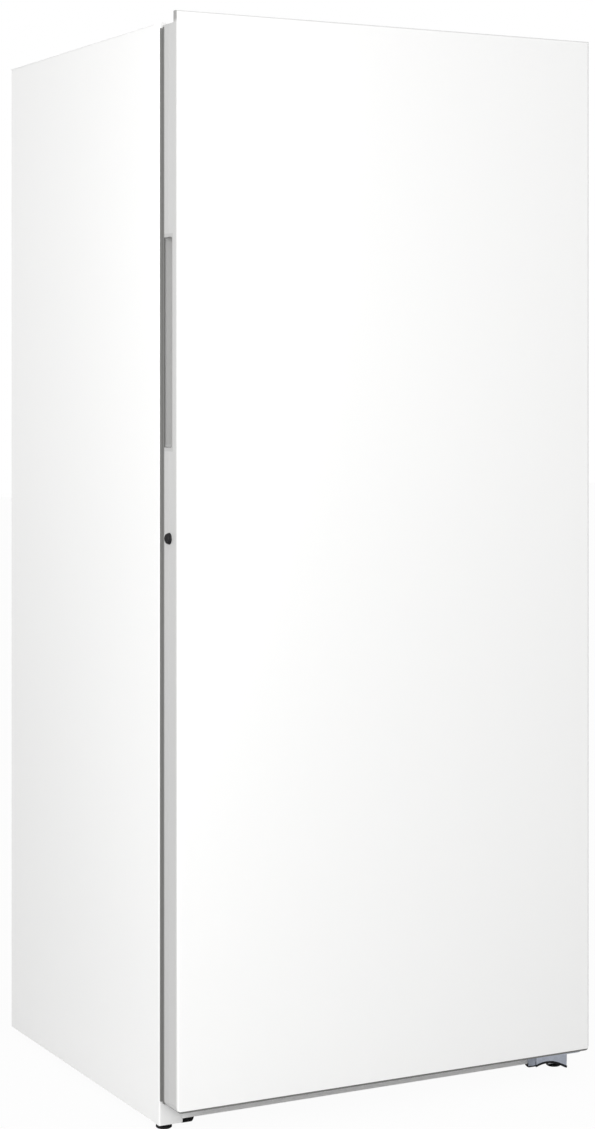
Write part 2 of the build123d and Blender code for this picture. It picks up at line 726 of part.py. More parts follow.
def door_outer_panel():
    """Painted steel front, wrapped round the edges and over the raised top lip."""
    skin = door_form(0) - door_form(SHEET)
    lip_back = DOOR_FRONT + LIP_DEPTH
    skin -= block(-HALF - 1, HALF + 1, SKIN_BACK, DOOR_BACK + 1, 0, LIP_TOP + 1)
    skin -= block(-HALF - 1, HALF + 1, lip_back, DOOR_BACK + 1, DOOR_TOP, LIP_TOP + 1)
    skin -= block(SHEET - HALF, HALF - SHEET, lip_back - 20, DOOR_BACK, DOOR_BOTTOM - 1,
                  DOOR_BOTTOM + SHEET)
    skin &= lower_corners(DOOR_BOTTOM)
    return skin - handle_space() - lock_bore()


def door_core(z0, z1, x0=-HALF, x1=HALF, y0=DOOR_FRONT, y1=SKIN_BACK):
    """Slice of the space inside the steel skin."""
    return door_form(SHEET) & block(x0, x1, y0, y1, z0, z1)


def door_bottom_cap():
    """Bottom end cap, with a rim that shows under the steel skin."""
    high = DOOR_BOTTOM + CAP
    cap = door_core(DOOR_BOTTOM, high)
    cap += block(-HALF, HALF, SKIN_BACK, DOOR_BACK, CAP_LOW, high)
    cap += door_form(0, CAP_LOW) & block(-HALF, HALF, DOOR_FRONT, DOOR_BACK, CAP_LOW,
                                         DOOR_BOTTOM)
    return (cap & lower_corners(CAP_LOW)) - pin_holes()


def door_top_cap():
    """Top end cap, with the core of the raised front lip."""
    low = DOOR_TOP - CAP
    cap = door_core(low, DOOR_TOP)
    cap += door_core(DOOR_TOP, LIP_TOP, y1=DOOR_FRONT + LIP_DEPTH)
    cap += block(-HALF, HALF, SKIN_BACK, DOOR_BACK, low, DOOR_TOP)
    return cap - pin_holes()


def hinge_bushes():
    """Plastic bushes for the two hinge pins."""
    group = []
    for z0, z1 in ((CAP_LOW, DOOR_BOTTOM + CAP), (DOOR_TOP - CAP, DOOR_TOP)):
        bush = rod("z", BUSH_R, z0, z1, HINGE_X, HINGE_Y)
        group.append(bush - rod("z", PIN_R + RUNNING, z0 - 1, z1 + 1, HINGE_X, HINGE_Y))
    return solids_in_one(group)


def edge_trim(side):
    """Moulded strip that closes the rear half of the door's edge."""
    x0, x1 = sorted((side * (HALF - TRIM), side * HALF))
    low, high = DOOR_BOTTOM + CAP, DOOR_TOP - CAP
    strip = block(x0, x1, SKIN_BACK, DOOR_BACK, low, high)
    strip = fillet(upright_edges(strip, (side * HALF, DOOR_BACK)), 2)
    strip = chamfer(upright_edges(strip, (side * HALF, SKIN_BACK)), SEAM)
    if side < 0:
        strip -= handle_space()
        strip -= lock_bore()
        strip -= lock_cavity()
    return solids_in_one([strip])


def lock_cavity():
    """Room for the lock's cam to swing from upright to straight back."""
    return block(-415.2, TRIM - HALF + 1, LOCK_Y - 9, DOOR_BACK + 1, LOCK_Z - 9,
                 LOCK_Z + CAM_REACH + 4)


def handle_insert():
    """Grey finger pocket let into the door's edge."""
    insert = handle_space() & block(-HALF, 0, DOOR_FRONT, DOOR_BACK, 0, LIP_TOP)
    pocket = block(-HALF - 1, POCKET_DEEP - HALF, POCKET_FRONT, POCKET_REAR,
                   POCKET_LOW, POCKET_HIGH)
    pocket = fillet(pocket.edges().filter_by(Axis.X), 5)
    return insert - pocket


def door_insulation():
    """Foam core of the door and of the raised frame on its liner."""
    low, high = DOOR_BOTTOM + CAP, DOOR_TOP - CAP
    back = DOOR_BACK - PLASTIC
    edge = HALF - TRIM
    pocket_x = POCKET_DEEP + POCKET_WALL - HALF
    pocket_low, pocket_high = POCKET_LOW - 6, POCKET_HIGH + 6
    slabs = [
        door_core(low, high, x0=pocket_x),
        block(pocket_x, edge, SKIN_BACK, back, low, high),
        door_core(pocket_low, pocket_high, x1=pocket_x, y1=POCKET_FRONT - POCKET_WALL),
    ]
    for z0, z1 in ((low, pocket_low), (pocket_high, high)):
        slabs.append(door_core(z0, z1, x1=pocket_x) - lock_bore() - lock_cavity())
        slabs.append(block(-edge, pocket_x, SKIN_BACK, back, z0, z1))
    t = PLASTIC
    x0, x1 = DYKE_IN + t, DYKE_OUT - t
    z0, z1 = DYKE_BOTTOM + t, DYKE_TOP - t
    thick = DYKE_OUT - DYKE_IN - 2 * t
    for side in (-1, 1):
        slabs.append(block(*sorted((side * x0, side * x1)), back, DYKE_BACK - t, z0, z1))
    for bottom in (z0, z1 - thick):
        slabs.append(block(-x0, x0, back, DYKE_BACK - t, bottom, bottom + thick))
    return solids_in_one(slabs)


def frame_ring(out_x, in_x, z0, z1, y0, y1):
    """Rectangular frame with equal bars."""
    bar = out_x - in_x
    return block(-out_x, out_x, y0, y1, z0, z1) - block(
        -in_x, in_x, y0 - 1, y1 + 1, z0 + bar, z1 - bar)


def door_liner():
    """Moulded inner door with a raised frame that the bins hang between."""
    t = PLASTIC
    edge = HALF - TRIM
    flat = block(-edge, edge, DOOR_BACK - t, DOOR_BACK, DOOR_BOTTOM + CAP, DOOR_TOP - CAP)
    raised = frame_ring(DYKE_OUT, DYKE_IN, DYKE_BOTTOM, DYKE_TOP, DOOR_BACK - t, DYKE_BACK)
    hollow = frame_ring(DYKE_OUT - t, DYKE_IN + t, DYKE_BOTTOM + t, DYKE_TOP - t,
                        DOOR_BACK - 2 * t, DYKE_BACK - t)
    return flat + raised - hollow - handle_space()


def door_gasket():
    """Magnetic gasket: lengths welded at the corners, hollow where the lock's cam passes."""
    y0, y1 = DOOR_BACK, CABINET_FRONT - 0.3
    left, right, wide = -GASKET_LATCH, GASKET_HINGE, GASKET_WIDE
    low, high = GASKET_BOTTOM + wide, GASKET_TOP - wide
    notch = (LOCK_Z - 12, LOCK_Z + CAM_REACH + 6)
    lengths = [block(left, right, y0, y1, z, z + wide) for z in (GASKET_BOTTOM, high)]
    lengths.append(block(right - wide, right, y0, y1, low, high))
    lengths.append(block(left, left + wide, y0, y1, low, notch[0]))
    lengths.append(block(left, CAM_X - CAM_GAP, y0, y1, *notch))
    lengths.append(block(STRIKE_X[1], left + wide, y0, y1, *notch))
    lengths.append(block(left, left + wide, y0, y1, notch[1], high))
    return solids_in_one(lengths)


def door_bin(level):
    """Open bin that hangs between the sides of the liner's raised frame."""
    wall = PLASTIC
    high = level + BIN_HIGH
    body = block(-BIN_X, BIN_X, DOOR_BACK, BIN_BACK, level, high)
    body = fillet(upright_edges(body, (-BIN_X, BIN_BACK), (BIN_X, BIN_BACK)), 14)
    hollow = block(wall - BIN_X, BIN_X - wall, DOOR_BACK + wall, BIN_BACK - wall,
                   level + wall, high + 1)
    inner = upright_edges(hollow, (wall - BIN_X, BIN_BACK - wall),
                          (BIN_X - wall, BIN_BACK - wall))
    body -= fillet(inner, 14 - wall)
    for side in (-1, 1):
        x0, x1 = sorted((side * (BIN_X - 1), side * DYKE_IN))
        body += block(x0, x1, DOOR_BACK + 8, DOOR_BACK + 34, level + 30, level + 44)
    return body


# --- lock -------------------------------------------------------------------
def lock_housing():
    """Black barrel of the lock, standing out of the door's edge."""
    sleeve = rod("x", LOCK_R, -HALF - LOCK_OUT, -415.4, LOCK_Y, LOCK_Z)
    outer = sleeve.edges().filter_by(GeomType.CIRCLE).group_by(Axis.X)[0]
    sleeve = fillet(outer, 3)
    return sleeve - rod("x", PLUG_R + RUNNING, -HALF - LOCK_OUT - 1, -410, LOCK_Y, LOCK_Z)


def lock_plug():
    """Turning plug with a keyway, and the cam on its inner end."""
    face = -HALF - LOCK_OUT
    plug = rod("x", PLUG_R, face, CAM_X, LOCK_Y, LOCK_Z)
    plug = fillet(plug.edges().filter_by(GeomType.CIRCLE).group_by(Axis.X)[0], 2)
    plug -= block(face - 1, face + 3, LOCK_Y - 1, LOCK_Y + 1, LOCK_Z - 4, LOCK_Z + 4)
    arm = block(CAM_X, CAM_X + CAM_THICK, LOCK_Y - CAM_WIDE / 2, LOCK_Y + CAM_WIDE / 2,
                LOCK_Z, LOCK_Z + CAM_REACH - CAM_WIDE / 2)
    arm += rod("x", CAM_WIDE / 2, CAM_X, CAM_X + CAM_THICK, LOCK_Y,
               LOCK_Z + CAM_REACH - CAM_WIDE / 2)
    arm += rod("x", PLUG_R, CAM_X, CAM_X + CAM_THICK, LOCK_Y, LOCK_Z)
    return plug + arm


# --- assembly ---------------------------------------------------------------
def all_parts():
    right = side_panel()
    parts = {
        "side_panel_right": right - hinge_screws_low(),
        "side_panel_left": mirror(right, about=Plane.YZ) - lock_slot(),
        "lock_strike": lock_strike(),
        "top_panel": top_panel() - top_hinge_screws(),
        "rear_panel": rear_panel(),
        "lower_front_rail": lower_front_rail(),
        "cabinet_insulation": cabinet_insulation(),
        "machine_bay_lining": machine_bay_lining(),
        "inner_liner": inner_liner(),
        "base_frame": base_frame(),
        "kick_plate": kick_plate(),
        "compressor_tray": compressor_tray(),
        "roller_brackets": roller_brackets(),
        "roller_axles": roller_axles(),
        "foot_left": foot(-1),
        "foot_right": foot(1),
        "compressor": compressor(),
        "compressor_grommets": compressor_grommets(),
        "relay_cover": relay_cover(),
        "condenser_coil": condenser_coil(),
        "condenser_fan_shroud": condenser_fan_shroud(),
        "fan_motors": solids_in_one([condenser_fan_motor(), evaporator_fan_motor()]),
        "condenser_fan_blade": fan_blade("x", SHROUD_X + 6, FAN_Y, FAN_Z, 20, 76, 16, 5, 24),
        "drain_pan": drain_pan(),
        "filter_drier": filter_drier(),
        "refrigerant_tubes": refrigerant_tubes(),
        "machine_cover": machine_cover(),
        "cord_gland": cord_gland(),
        "evaporator_cover": evaporator_cover(),
        "evaporator_coil": evaporator_coil(),
        "defrost_heater": defrost_heater(),
        "evaporator_fan_blade": fan_blade("y", 276, 0, 1674, 16, 62, 12, 4, 22),
        "glass_shelves": solids_in_one([shelf_glass(level) for level in SHELF_LEVELS]),
        "shelf_trims": solids_in_one([shelf_trim(level) for level in SHELF_LEVELS]),
        "basket_rails": basket_rails(),
        "basket": basket(),
        "control_housing": control_housing(),
        "control_knob": control_knob(),
        "lamp_lens": lamp_lens(),
        "lamp_board": lamp_board(),
        "top_hinge": top_hinge(),
        "top_hinge_cover": top_hinge_cover(),
        "bottom_hinge": bottom_hinge(),
        "casing_screws": solids_in_one(
            [machine_cover_screws(), top_hinge_screws(), hinge_screws_low()]),
        "door_outer_panel": door_outer_panel(),
        "door_liner": door_liner(),
        "door_insulation": door_insulation(),
        "door_top_cap": door_top_cap(),
        "door_bottom_cap": door_bottom_cap(),
        "door_edge_trims": solids_in_one([edge_trim(-1), edge_trim(1)]),
        "door_gasket": door_gasket(),
        "door_bins": solids_in_one([door_bin(level) for level in BIN_LEVELS]),
        "handle_insert": handle_insert(),
        "hinge_bushes": hinge_bushes(),
        "lock_housing": lock_housing(),
        "lock_plug": lock_plug(),
    }
    for place, centre in ROLLERS.items():
        parts[f"roller_{place}"] = roller(*centre)
    return parts


def main():
    os.makedirs("parts", exist_ok=True)
    for name, shape in all_parts().items():
        export_step(shape, f"parts/{name}.step")


main()
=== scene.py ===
"""Upright freezer: finishes, detail pieces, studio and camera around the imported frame."""

import json
from math import cos, pi, radians, sin

import bpy
from bpy.props import FloatProperty, FloatVectorProperty, IntProperty, PointerProperty
from mathutils import Matrix, Vector


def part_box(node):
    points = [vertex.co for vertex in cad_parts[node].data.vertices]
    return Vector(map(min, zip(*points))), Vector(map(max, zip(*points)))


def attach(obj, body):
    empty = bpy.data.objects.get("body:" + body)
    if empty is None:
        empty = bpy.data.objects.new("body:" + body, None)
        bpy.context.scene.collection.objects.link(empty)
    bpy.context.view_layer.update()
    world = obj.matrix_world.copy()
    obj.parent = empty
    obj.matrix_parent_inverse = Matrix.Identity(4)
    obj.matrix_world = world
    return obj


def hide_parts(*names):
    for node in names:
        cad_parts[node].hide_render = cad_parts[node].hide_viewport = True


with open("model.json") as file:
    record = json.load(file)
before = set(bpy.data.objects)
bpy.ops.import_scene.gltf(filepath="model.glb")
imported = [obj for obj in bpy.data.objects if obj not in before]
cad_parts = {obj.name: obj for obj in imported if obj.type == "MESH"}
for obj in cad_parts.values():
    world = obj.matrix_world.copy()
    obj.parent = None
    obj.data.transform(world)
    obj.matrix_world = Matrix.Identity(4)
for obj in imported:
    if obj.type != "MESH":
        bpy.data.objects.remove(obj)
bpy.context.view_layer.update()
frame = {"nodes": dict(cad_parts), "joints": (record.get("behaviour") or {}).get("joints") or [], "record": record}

bl_info = {
    "name": "Upright freezer",
    "version": (1, 0, 0),
    "blender": (4, 5, 0),
    "location": "View3D > Sidebar > Freezer",
    "description": "Finishes, gasket, wire basket, fittings and studio for an upright freezer",
    "category": "Object",
}

MM = 0.001
X, Y, Z = Vector((1, 0, 0)), Vector((0, 1, 0)), Vector((0, 0, 1))
WELD = 0.02 * MM  # points closer than this become one
SHARP = radians(35)  # edges that turn by more than this stay sharp
BEND_STEP = radians(18)  # a bent bar has about one ring for each such turn
DUSTY = 0.62  # tone of dust as a share of the clean tone
DULL = 0.72  # tone of dull metal as a share of the bright tone


# --- settings -----------------------------------------------------------------
def colour(name, description, default):
    return FloatVectorProperty(name=name, description=description, default=default,
                               subtype="COLOR", size=3, min=0.0, max=1.0)


def length(name, description, default):
    return FloatProperty(name=name, description=description, default=default, unit="LENGTH",
                         precision=4)


class FreezerFinishes(bpy.types.PropertyGroup):
    """Colours of the freezer's finishes."""

    enamel: colour("Enamel", "Painted steel skins", (0.86, 0.86, 0.855))
    # Painted shade: the next two tones darken the door's returned edges, the ends of its top lip and the lip's top
    # rim, in place of the shade on them.
    enamel_edge_shade: colour("Enamel edge", "Returned edges of the door's skin", (0.52, 0.52, 0.515))
    lip_end_shade: colour("Lip edge", "Ends of the raised top lip", (0.30, 0.30, 0.295))
    trim: colour("Trim", "Moulded caps and edge strips", (0.50, 0.50, 0.495))
    rim: colour("Cap rim", "Lowest rim of the door", (0.16, 0.16, 0.155))
    # Painted light: the kick plate is lighter than the enamel to offset the shade the door casts on it.
    kick: colour("Kick plate", "Strip under the door", (0.96, 0.96, 0.955))
    liner: colour("Liner", "Moulded inside of cabinet and door", (0.83, 0.845, 0.85))
    fittings: colour("Fittings", "Bins, shelf strips and covers", (0.82, 0.83, 0.835))
    pocket: colour("Finger pocket", "Grey insert in the door's edge", (0.44, 0.44, 0.435))
    gasket: colour("Gasket", "Soft magnetic gasket", (0.155, 0.155, 0.150))
    lock: colour("Lock", "Black lock sleeve and small black mouldings", (0.009, 0.009, 0.010))
    zinc: colour("Zinc", "Plated hinge steel", (0.74, 0.79, 0.90))
    galvanised: colour("Galvanised", "Bare galvanised steel", (0.60, 0.62, 0.64))
    copper: colour("Copper", "Refrigerant tubes", (0.78, 0.42, 0.27))
    fins: colour("Fins", "Aluminium coils", (0.80, 0.81, 0.82))
    glass: colour("Glass", "Toughened shelf glass", (0.90, 0.97, 0.94))
    wire: colour("Wire", "Coated basket wire", (0.84, 0.84, 0.83))
    foam: colour("Foam", "Insulation inside the walls", (0.80, 0.72, 0.48))
    board: colour("Board", "Lamp circuit board", (0.05, 0.22, 0.10))


class FreezerDetails(bpy.types.PropertyGroup):
    """Sizes of the detail pieces."""

    wire: length("Basket wire", "Radius of the thin basket wires", 1.5 * MM)
    rim_wire: length("Basket rim", "Radius of the basket's rim wire", 2.6 * MM)
    wire_pitch: length("Wire pitch", "Distance between basket wires", 25.5 * MM)
    cross_pitch: length("Cross pitch", "Distance between cross wires", 44 * MM)
    wire_bend: length("Wire bend", "Inner radius at the basket's bottom edges", 16 * MM)
    bin_bead: length("Bin bead", "Radius of the rounded rim on a door bin", 3.2 * MM)
    grip_ribs: IntProperty(name="Grip ribs", description="Ribs in the finger pocket", default=26,
                           min=4, max=60)
    dial_marks: IntProperty(name="Dial marks", description="Marks round the knob", default=7,
                            min=3, max=15)
    thread_pitch: length("Thread pitch", "Pitch of the levelling feet's threads", 2.0 * MM)


class FreezerStudio(bpy.types.PropertyGroup):
    """Camera, floor and light."""

    camera_place: FloatVectorProperty(name="Camera", description="Where the camera stands",
                                      default=(-2.106, -4.058, 1.294), size=3,
                                      subtype="TRANSLATION", unit="LENGTH")
    camera_turn: FloatProperty(name="Turn", description="Camera's heading from +Y",
                               default=radians(-27.6), subtype="ANGLE")
    lens: FloatProperty(name="Lens", description="Focal length in millimetres", default=76.27)
    rise: FloatProperty(name="Shift", description="Vertical lens shift", default=-0.167)
    floor: colour("Floor", "Plain floor, as it lights the freezer", (0.54, 0.54, 0.54))
    floor_white: FloatProperty(name="Floor white", description="How white the camera sees the floor",
                               default=0.96, min=0.0, max=1.0)
    sky: FloatProperty(name="Surround", description="Strength of the white surround",
                       default=1.05, min=0.0)
    shade: FloatProperty(name="Rear shade", description="How much the surround fades behind",
                         default=0.50, min=0.0, max=1.0)
    key: FloatProperty(name="Key light", description="Large soft light, front left", default=67.0,
                       unit="POWER")
    key_size: length("Key size", "Side of the square key light", 1.7)
    key_place: FloatVectorProperty(name="Key place", description="Where the key light hangs",
                                   default=(-2.4, -2.4, 1.75), size=3,
                                   subtype="TRANSLATION", unit="LENGTH")
    key_aim: FloatVectorProperty(name="Key aim", description="Where the key light points",
                                 default=(-0.42, -0.39, 1.3), size=3,
                                 subtype="TRANSLATION", unit="LENGTH")


# --- modelling helpers ----------------------------------------------------------
def clear_selection():
    bpy.ops.object.select_all(action="DESELECT")


def settle(name):
    """Name the new primitive and bake its place into its mesh."""
    piece = bpy.context.object
    piece.name = name
    piece.data.name = name
    bpy.ops.object.transform_apply(location=True, rotation=True, scale=True)
    return piece


def open_mesh():
    """Enter edit mode with every point selected."""
    bpy.ops.object.mode_set(mode="EDIT")
    bpy.ops.mesh.select_mode(type="VERT")
    bpy.ops.mesh.select_all(action="SELECT")


def close_mesh():
    """Weld doubles, point faces outwards and leave edit mode."""
    bpy.ops.mesh.select_all(action="SELECT")
    bpy.ops.mesh.remove_doubles(threshold=WELD)
    bpy.ops.mesh.normals_make_consistent(inside=False)
    bpy.ops.object.mode_set(mode="OBJECT")


def rounded_block(name, low, high, bevel, segments=3):
    """Block between two corners with bevelled edges."""
    low, high = Vector(low), Vector(high)
    clear_selection()
    bpy.ops.mesh.primitive_cube_add(size=1, location=(low + high) / 2, scale=high - low)
    piece = settle(name)
    open_mesh()
    bpy.ops.mesh.bevel(offset=bevel, segments=segments, affect="EDGES")
    close_mesh()
    return piece


def bent_bar(name, start, heading, moves, radius, sides=8, closed=False):
    """Round bar from runs and bends: a number is a run, (radius, angle, axis) is a bend."""
    place, way = Vector(start), Vector(heading).normalized()
    clear_selection()
    bpy.ops.mesh.primitive_circle_add(
        vertices=sides, radius=radius, location=place,
        fill_type="NOTHING" if closed else "NGON",
        rotation=way.to_track_quat("Z", "Y").to_euler())
    bar = settle(name)
    open_mesh()
    for move in moves:
        if isinstance(move, tuple):
            bend, angle, axis = move
            centre = place + axis.cross(way).normalized() * bend
            steps = max(2, round(angle / BEND_STEP))
            for _ in range(steps):
                bpy.ops.mesh.extrude_region_move()
                turn_selected(bar, centre, angle / steps, axis)
            turn = Matrix.Rotation(angle, 3, axis)
            place = centre + turn @ (place - centre)
            way = turn @ way
        else:
            bpy.ops.mesh.extrude_region_move(TRANSFORM_OT_translate={"value": way * move})
            place += way * move
    close_mesh()
    return bar


def turn_selected(piece, centre, angle, axis):
    """Turn the selected end ring about an axis through a point."""
    turn = Matrix.Rotation(angle, 3, axis)
    bpy.ops.object.mode_set(mode="OBJECT")
    for vertex in piece.data.vertices:
        if vertex.select:
            vertex.co = centre + turn @ (vertex.co - centre)
    bpy.ops.object.mode_set(mode="EDIT")


def lathe(name, profile, foot, axis, segments):
    """Round piece: profile points (radius, height) turned about an axis through foot."""
    axis = Vector(axis).normalized()
    side = axis.orthogonal().normalized()
    foot = Vector(foot)
    points = [foot + side * radius + axis * height for radius, height in profile]
    clear_selection()
    bpy.ops.mesh.primitive_plane_add(size=1 * MM, location=points[0])
    piece = settle(name)
    open_mesh()
    bpy.ops.mesh.merge(type="CENTER")
    for here, there in zip(points, points[1:]):
        bpy.ops.mesh.extrude_region_move(TRANSFORM_OT_translate={"value": there - here})
    bpy.ops.mesh.select_all(action="SELECT")
    bpy.ops.mesh.spin(steps=segments, angle=2 * pi, center=foot, axis=axis)
    close_mesh()
    return piece


def mitred_frame(name, profile, half, z0, z1, centre_x=0.0):
    """Rectangular frame in the XZ plane: profile points are (inwards, y) from its outer edge."""
    clear_selection()
    corner = Vector((centre_x - half, 0, z0))
    bpy.ops.mesh.primitive_circle_add(vertices=len(profile), radius=10 * MM, location=corner)
    piece = settle(name)
    for vertex, (inwards, y) in zip(piece.data.vertices, profile):
        vertex.co = corner + Vector((inwards, y, inwards))
    open_mesh()
    corners = [Vector((centre_x + half, 0, z0)), Vector((centre_x + half, 0, z1)),
               Vector((centre_x - half, 0, z1)), corner]
    flips = [(-1, 1, 1), (1, 1, -1), (-1, 1, 1), (1, 1, -1)]
    place = corner
    for there, flip in zip(corners, flips):
        bpy.ops.mesh.extrude_region_move(TRANSFORM_OT_translate={"value": there - place})
        bpy.ops.transform.resize(value=flip, center_override=there)
        place = there
    close_mesh()
    return piece


def copy_at(piece, name, move):
    """Copy of a piece with its own mesh, moved by a vector."""
    twin = piece.copy()
    twin.data = piece.data.copy()
    twin.name = name
    twin.data.name = name
    twin.data.transform(Matrix.Translation(move))
    bpy.context.collection.objects.link(twin)
    return twin


def row_of(piece, moves):
    """The piece and its copies, one for each move, joined into it."""
    copies = [copy_at(piece, f"{piece.name}_{i}", move) for i, move in enumerate(moves)]
    return joined([piece, *copies])


def pick(*pieces):
    """Select these pieces only and make the first one active."""
    clear_selection()
    for piece in pieces:
        piece.select_set(True)
    bpy.context.view_layer.objects.active = pieces[0]


def joined(pieces):
    """Join the pieces into the first of them."""
    pick(*pieces)
    bpy.ops.object.join()
    return pieces[0]


def deliver(piece, material, body, slot, *stands_for):
    """Finish a new piece: shading, material, body and the nodes it stands for; slot is not used."""
    pick(piece)
    bpy.ops.object.shade_smooth_by_angle(angle=SHARP)
    piece.data.materials.clear()
    piece.data.materials.append(material)
    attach(piece, body)
    if stands_for:
        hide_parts(*stands_for)


# --- shader groups --------------------------------------------------------------
def new_group(name, inputs, outputs):
    """Shader group with named sockets; inputs map a name to (type, default)."""
    tree = bpy.data.node_groups.new(name, "ShaderNodeTree")
    for socket, (kind, default) in inputs.items():
        made = tree.interface.new_socket(socket, in_out="INPUT", socket_type=kind)
        made.default_value = default
    for socket, kind in outputs.items():
        tree.interface.new_socket(socket, in_out="OUTPUT", socket_type=kind)
    return tree, tree.nodes.new("NodeGroupInput"), tree.nodes.new("NodeGroupOutput")


def noise(tree, place, scale, detail=3.0, roughness=0.55):
    """Noise on object coordinates; scale is a number or a socket."""
    node = tree.nodes.new("ShaderNodeTexNoise")
    node.inputs["Detail"].default_value = detail
    node.inputs["Roughness"].default_value = roughness
    tree.links.new(place, node.inputs["Vector"])
    if isinstance(scale, (int, float)):
        node.inputs["Scale"].default_value = scale
    else:
        tree.links.new(scale, node.inputs["Scale"])
    return node.outputs["Fac"]


def calculate(tree, operation, a, b, clamp=False):
    """Math node; a and b are sockets or numbers."""
    node = tree.nodes.new("ShaderNodeMath")
    node.operation = operation
    node.use_clamp = clamp
    for socket, value in zip(node.inputs, (a, b)):
        if isinstance(value, (int, float)):
            socket.default_value = value
        else:
            tree.links.new(value, socket)
    return node.outputs[0]


def remap(tree, value, low, high, to_low, to_high):
    """Map a value from one range to another, clamped."""
    node = tree.nodes.new("ShaderNodeMapRange")
    for socket, number in zip(("From Min", "From Max", "To Min", "To Max"),
                              (low, high, to_low, to_high)):
        if isinstance(number, (int, float)):
            node.inputs[socket].default_value = number
        else:
            tree.links.new(number, node.inputs[socket])
    tree.links.new(value, node.inputs["Value"])
    return node.outputs["Result"]


def blend_colour(tree, factor, a, b):
    """Mix two colours; each is a socket or a tuple."""
    node = tree.nodes.new("ShaderNodeMix")
    node.data_type = "RGBA"
    tree.links.new(factor, node.inputs["Factor"])
    for name, value in (("A", a), ("B", b)):
        socket = [s for s in node.inputs if s.name == name and s.type == "RGBA"][0]
        if isinstance(value, tuple):
            socket.default_value = (*value, 1.0)
        else:
            tree.links.new(value, socket)
    return [s for s in node.outputs if s.type == "RGBA"][0]


def object_place(tree):
    return tree.nodes.new("ShaderNodeTexCoord").outputs["Object"]


def split(tree, place):
    """The X, Y and Z sockets of a vector."""
    apart = tree.nodes.new("ShaderNodeSeparateXYZ")
    tree.links.new(place, apart.inputs[0])
    return apart.outputs


def grain_group():
    """Fine grain with a slow mottle: orange peel in paint, texture on a moulding."""
    tree, given, out = new_group(
        "Surface Grain",
        {"Scale": ("NodeSocketFloat", 400.0), "Low Roughness": ("NodeSocketFloat", 0.3),
         "High Roughness": ("NodeSocketFloat", 0.4)},
        {"Height": "NodeSocketFloat", "Mottle": "NodeSocketFloat",
         "Roughness": "NodeSocketFloat"})
    place = object_place(tree)
    fine = noise(tree, place, given.outputs["Scale"], detail=2.0)
    slow = noise(tree, place, 2.0, detail=1.0, roughness=0.4)
    rough = remap(tree, slow, 0.0, 1.0, given.outputs["Low Roughness"],
                  given.outputs["High Roughness"])
    tree.links.new(fine, out.inputs["Height"])
    tree.links.new(slow, out.inputs["Mottle"])
    tree.links.new(rough, out.inputs["Roughness"])
    return tree


def dust_group():
    """Faint dust that gathers towards the floor and in soft patches."""
    tree, given, out = new_group(
        "Dust Fall",
        {"Clean Colour": ("NodeSocketColor", (1, 1, 1, 1)),
         "Dust Colour": ("NodeSocketColor", (0.5, 0.49, 0.46, 1)),
         "Amount": ("NodeSocketFloat", 0.05), "Reach": ("NodeSocketFloat", 0.5)},
        {"Colour": "NodeSocketColor", "Mask": "NodeSocketFloat"})
    place = object_place(tree)
    least_high_up, least_in_patches = 0.25, 0.4
    low = remap(tree, split(tree, place)["Z"], 0.0, given.outputs["Reach"], 1.0, least_high_up)
    soft = noise(tree, place, 3.0, detail=1.0, roughness=0.4)
    patches = remap(tree, soft, 0.0, 1.0, least_in_patches, 1.0)
    mask = calculate(tree, "MULTIPLY", low, patches)
    mask = calculate(tree, "MULTIPLY", mask, given.outputs["Amount"], clamp=True)
    mixed = blend_colour(tree, mask, given.outputs["Clean Colour"], given.outputs["Dust Colour"])
    tree.links.new(mixed, out.inputs["Colour"])
    tree.links.new(mask, out.inputs["Mask"])
    return tree


def plating_group():
    """Crystals and drawn streaks on metal."""
    tree, given, out = new_group(
        "Zinc Plating",
        {"Bright": ("NodeSocketColor", (0.7, 0.72, 0.75, 1)),
         "Dull": ("NodeSocketColor", (0.5, 0.52, 0.55, 1)),
         "Crystal Scale": ("NodeSocketFloat", 60.0)},
        {"Colour": "NodeSocketColor", "Roughness": "NodeSocketFloat",
         "Height": "NodeSocketFloat"})
    place = object_place(tree)
    cells = tree.nodes.new("ShaderNodeTexVoronoi")
    tree.links.new(place, cells.inputs["Vector"])
    tree.links.new(given.outputs["Crystal Scale"], cells.inputs["Scale"])
    grey = tree.nodes.new("ShaderNodeRGBToBW")
    tree.links.new(cells.outputs["Color"], grey.inputs[0])
    stretch = tree.nodes.new("ShaderNodeMapping")
    stretch.inputs["Scale"].default_value = (14.0, 220.0, 220.0)
    tree.links.new(place, stretch.inputs["Vector"])
    streaks = noise(tree, stretch.outputs[0], 1.0)
    crystal_share, streak_share = 0.6, 0.4
    tone = calculate(tree, "ADD", calculate(tree, "MULTIPLY", grey.outputs[0], crystal_share),
                     calculate(tree, "MULTIPLY", streaks, streak_share), clamp=True)
    mixed = blend_colour(tree, tone, given.outputs["Dull"], given.outputs["Bright"])
    tree.links.new(mixed, out.inputs["Colour"])
    dull_rough, bright_rough = 0.42, 0.24
    rough = remap(tree, tone, 0.2, 0.9, dull_rough, bright_rough)
    tree.links.new(rough, out.inputs["Roughness"])
    tree.links.new(streaks, out.inputs["Height"])
    return tree


class Recipe:
    """A material with one Principled shader, built up a step at a time."""

    def __init__(self, name, **fixed):
        self.material = bpy.data.materials.new(name)
        self.material.use_nodes = True
        self.tree = self.material.node_tree
        self.shader = self.tree.nodes["Principled BSDF"]
        for socket, value in fixed.items():
            self.shader.inputs[socket.replace("_", " ")].default_value = value

    def group(self, tree, **values):
        node = self.tree.nodes.new("ShaderNodeGroup")
        node.node_tree = tree
        for socket, value in values.items():
            value = (*value, 1.0) if isinstance(value, tuple) else value
            node.inputs[socket.replace("_", " ")].default_value = value
        return node

    def feed(self, output, socket):
        self.tree.links.new(output, self.shader.inputs[socket])

    def colour_so_far(self):
        return self.shader.inputs["Base Color"].links[0].from_socket

    def bump(self, height, strength, distance):
        node = self.tree.nodes.new("ShaderNodeBump")
        node.inputs["Strength"].default_value = strength
        node.inputs["Distance"].default_value = distance
        self.tree.links.new(height, node.inputs["Height"])
        self.feed(node.outputs["Normal"], "Normal")


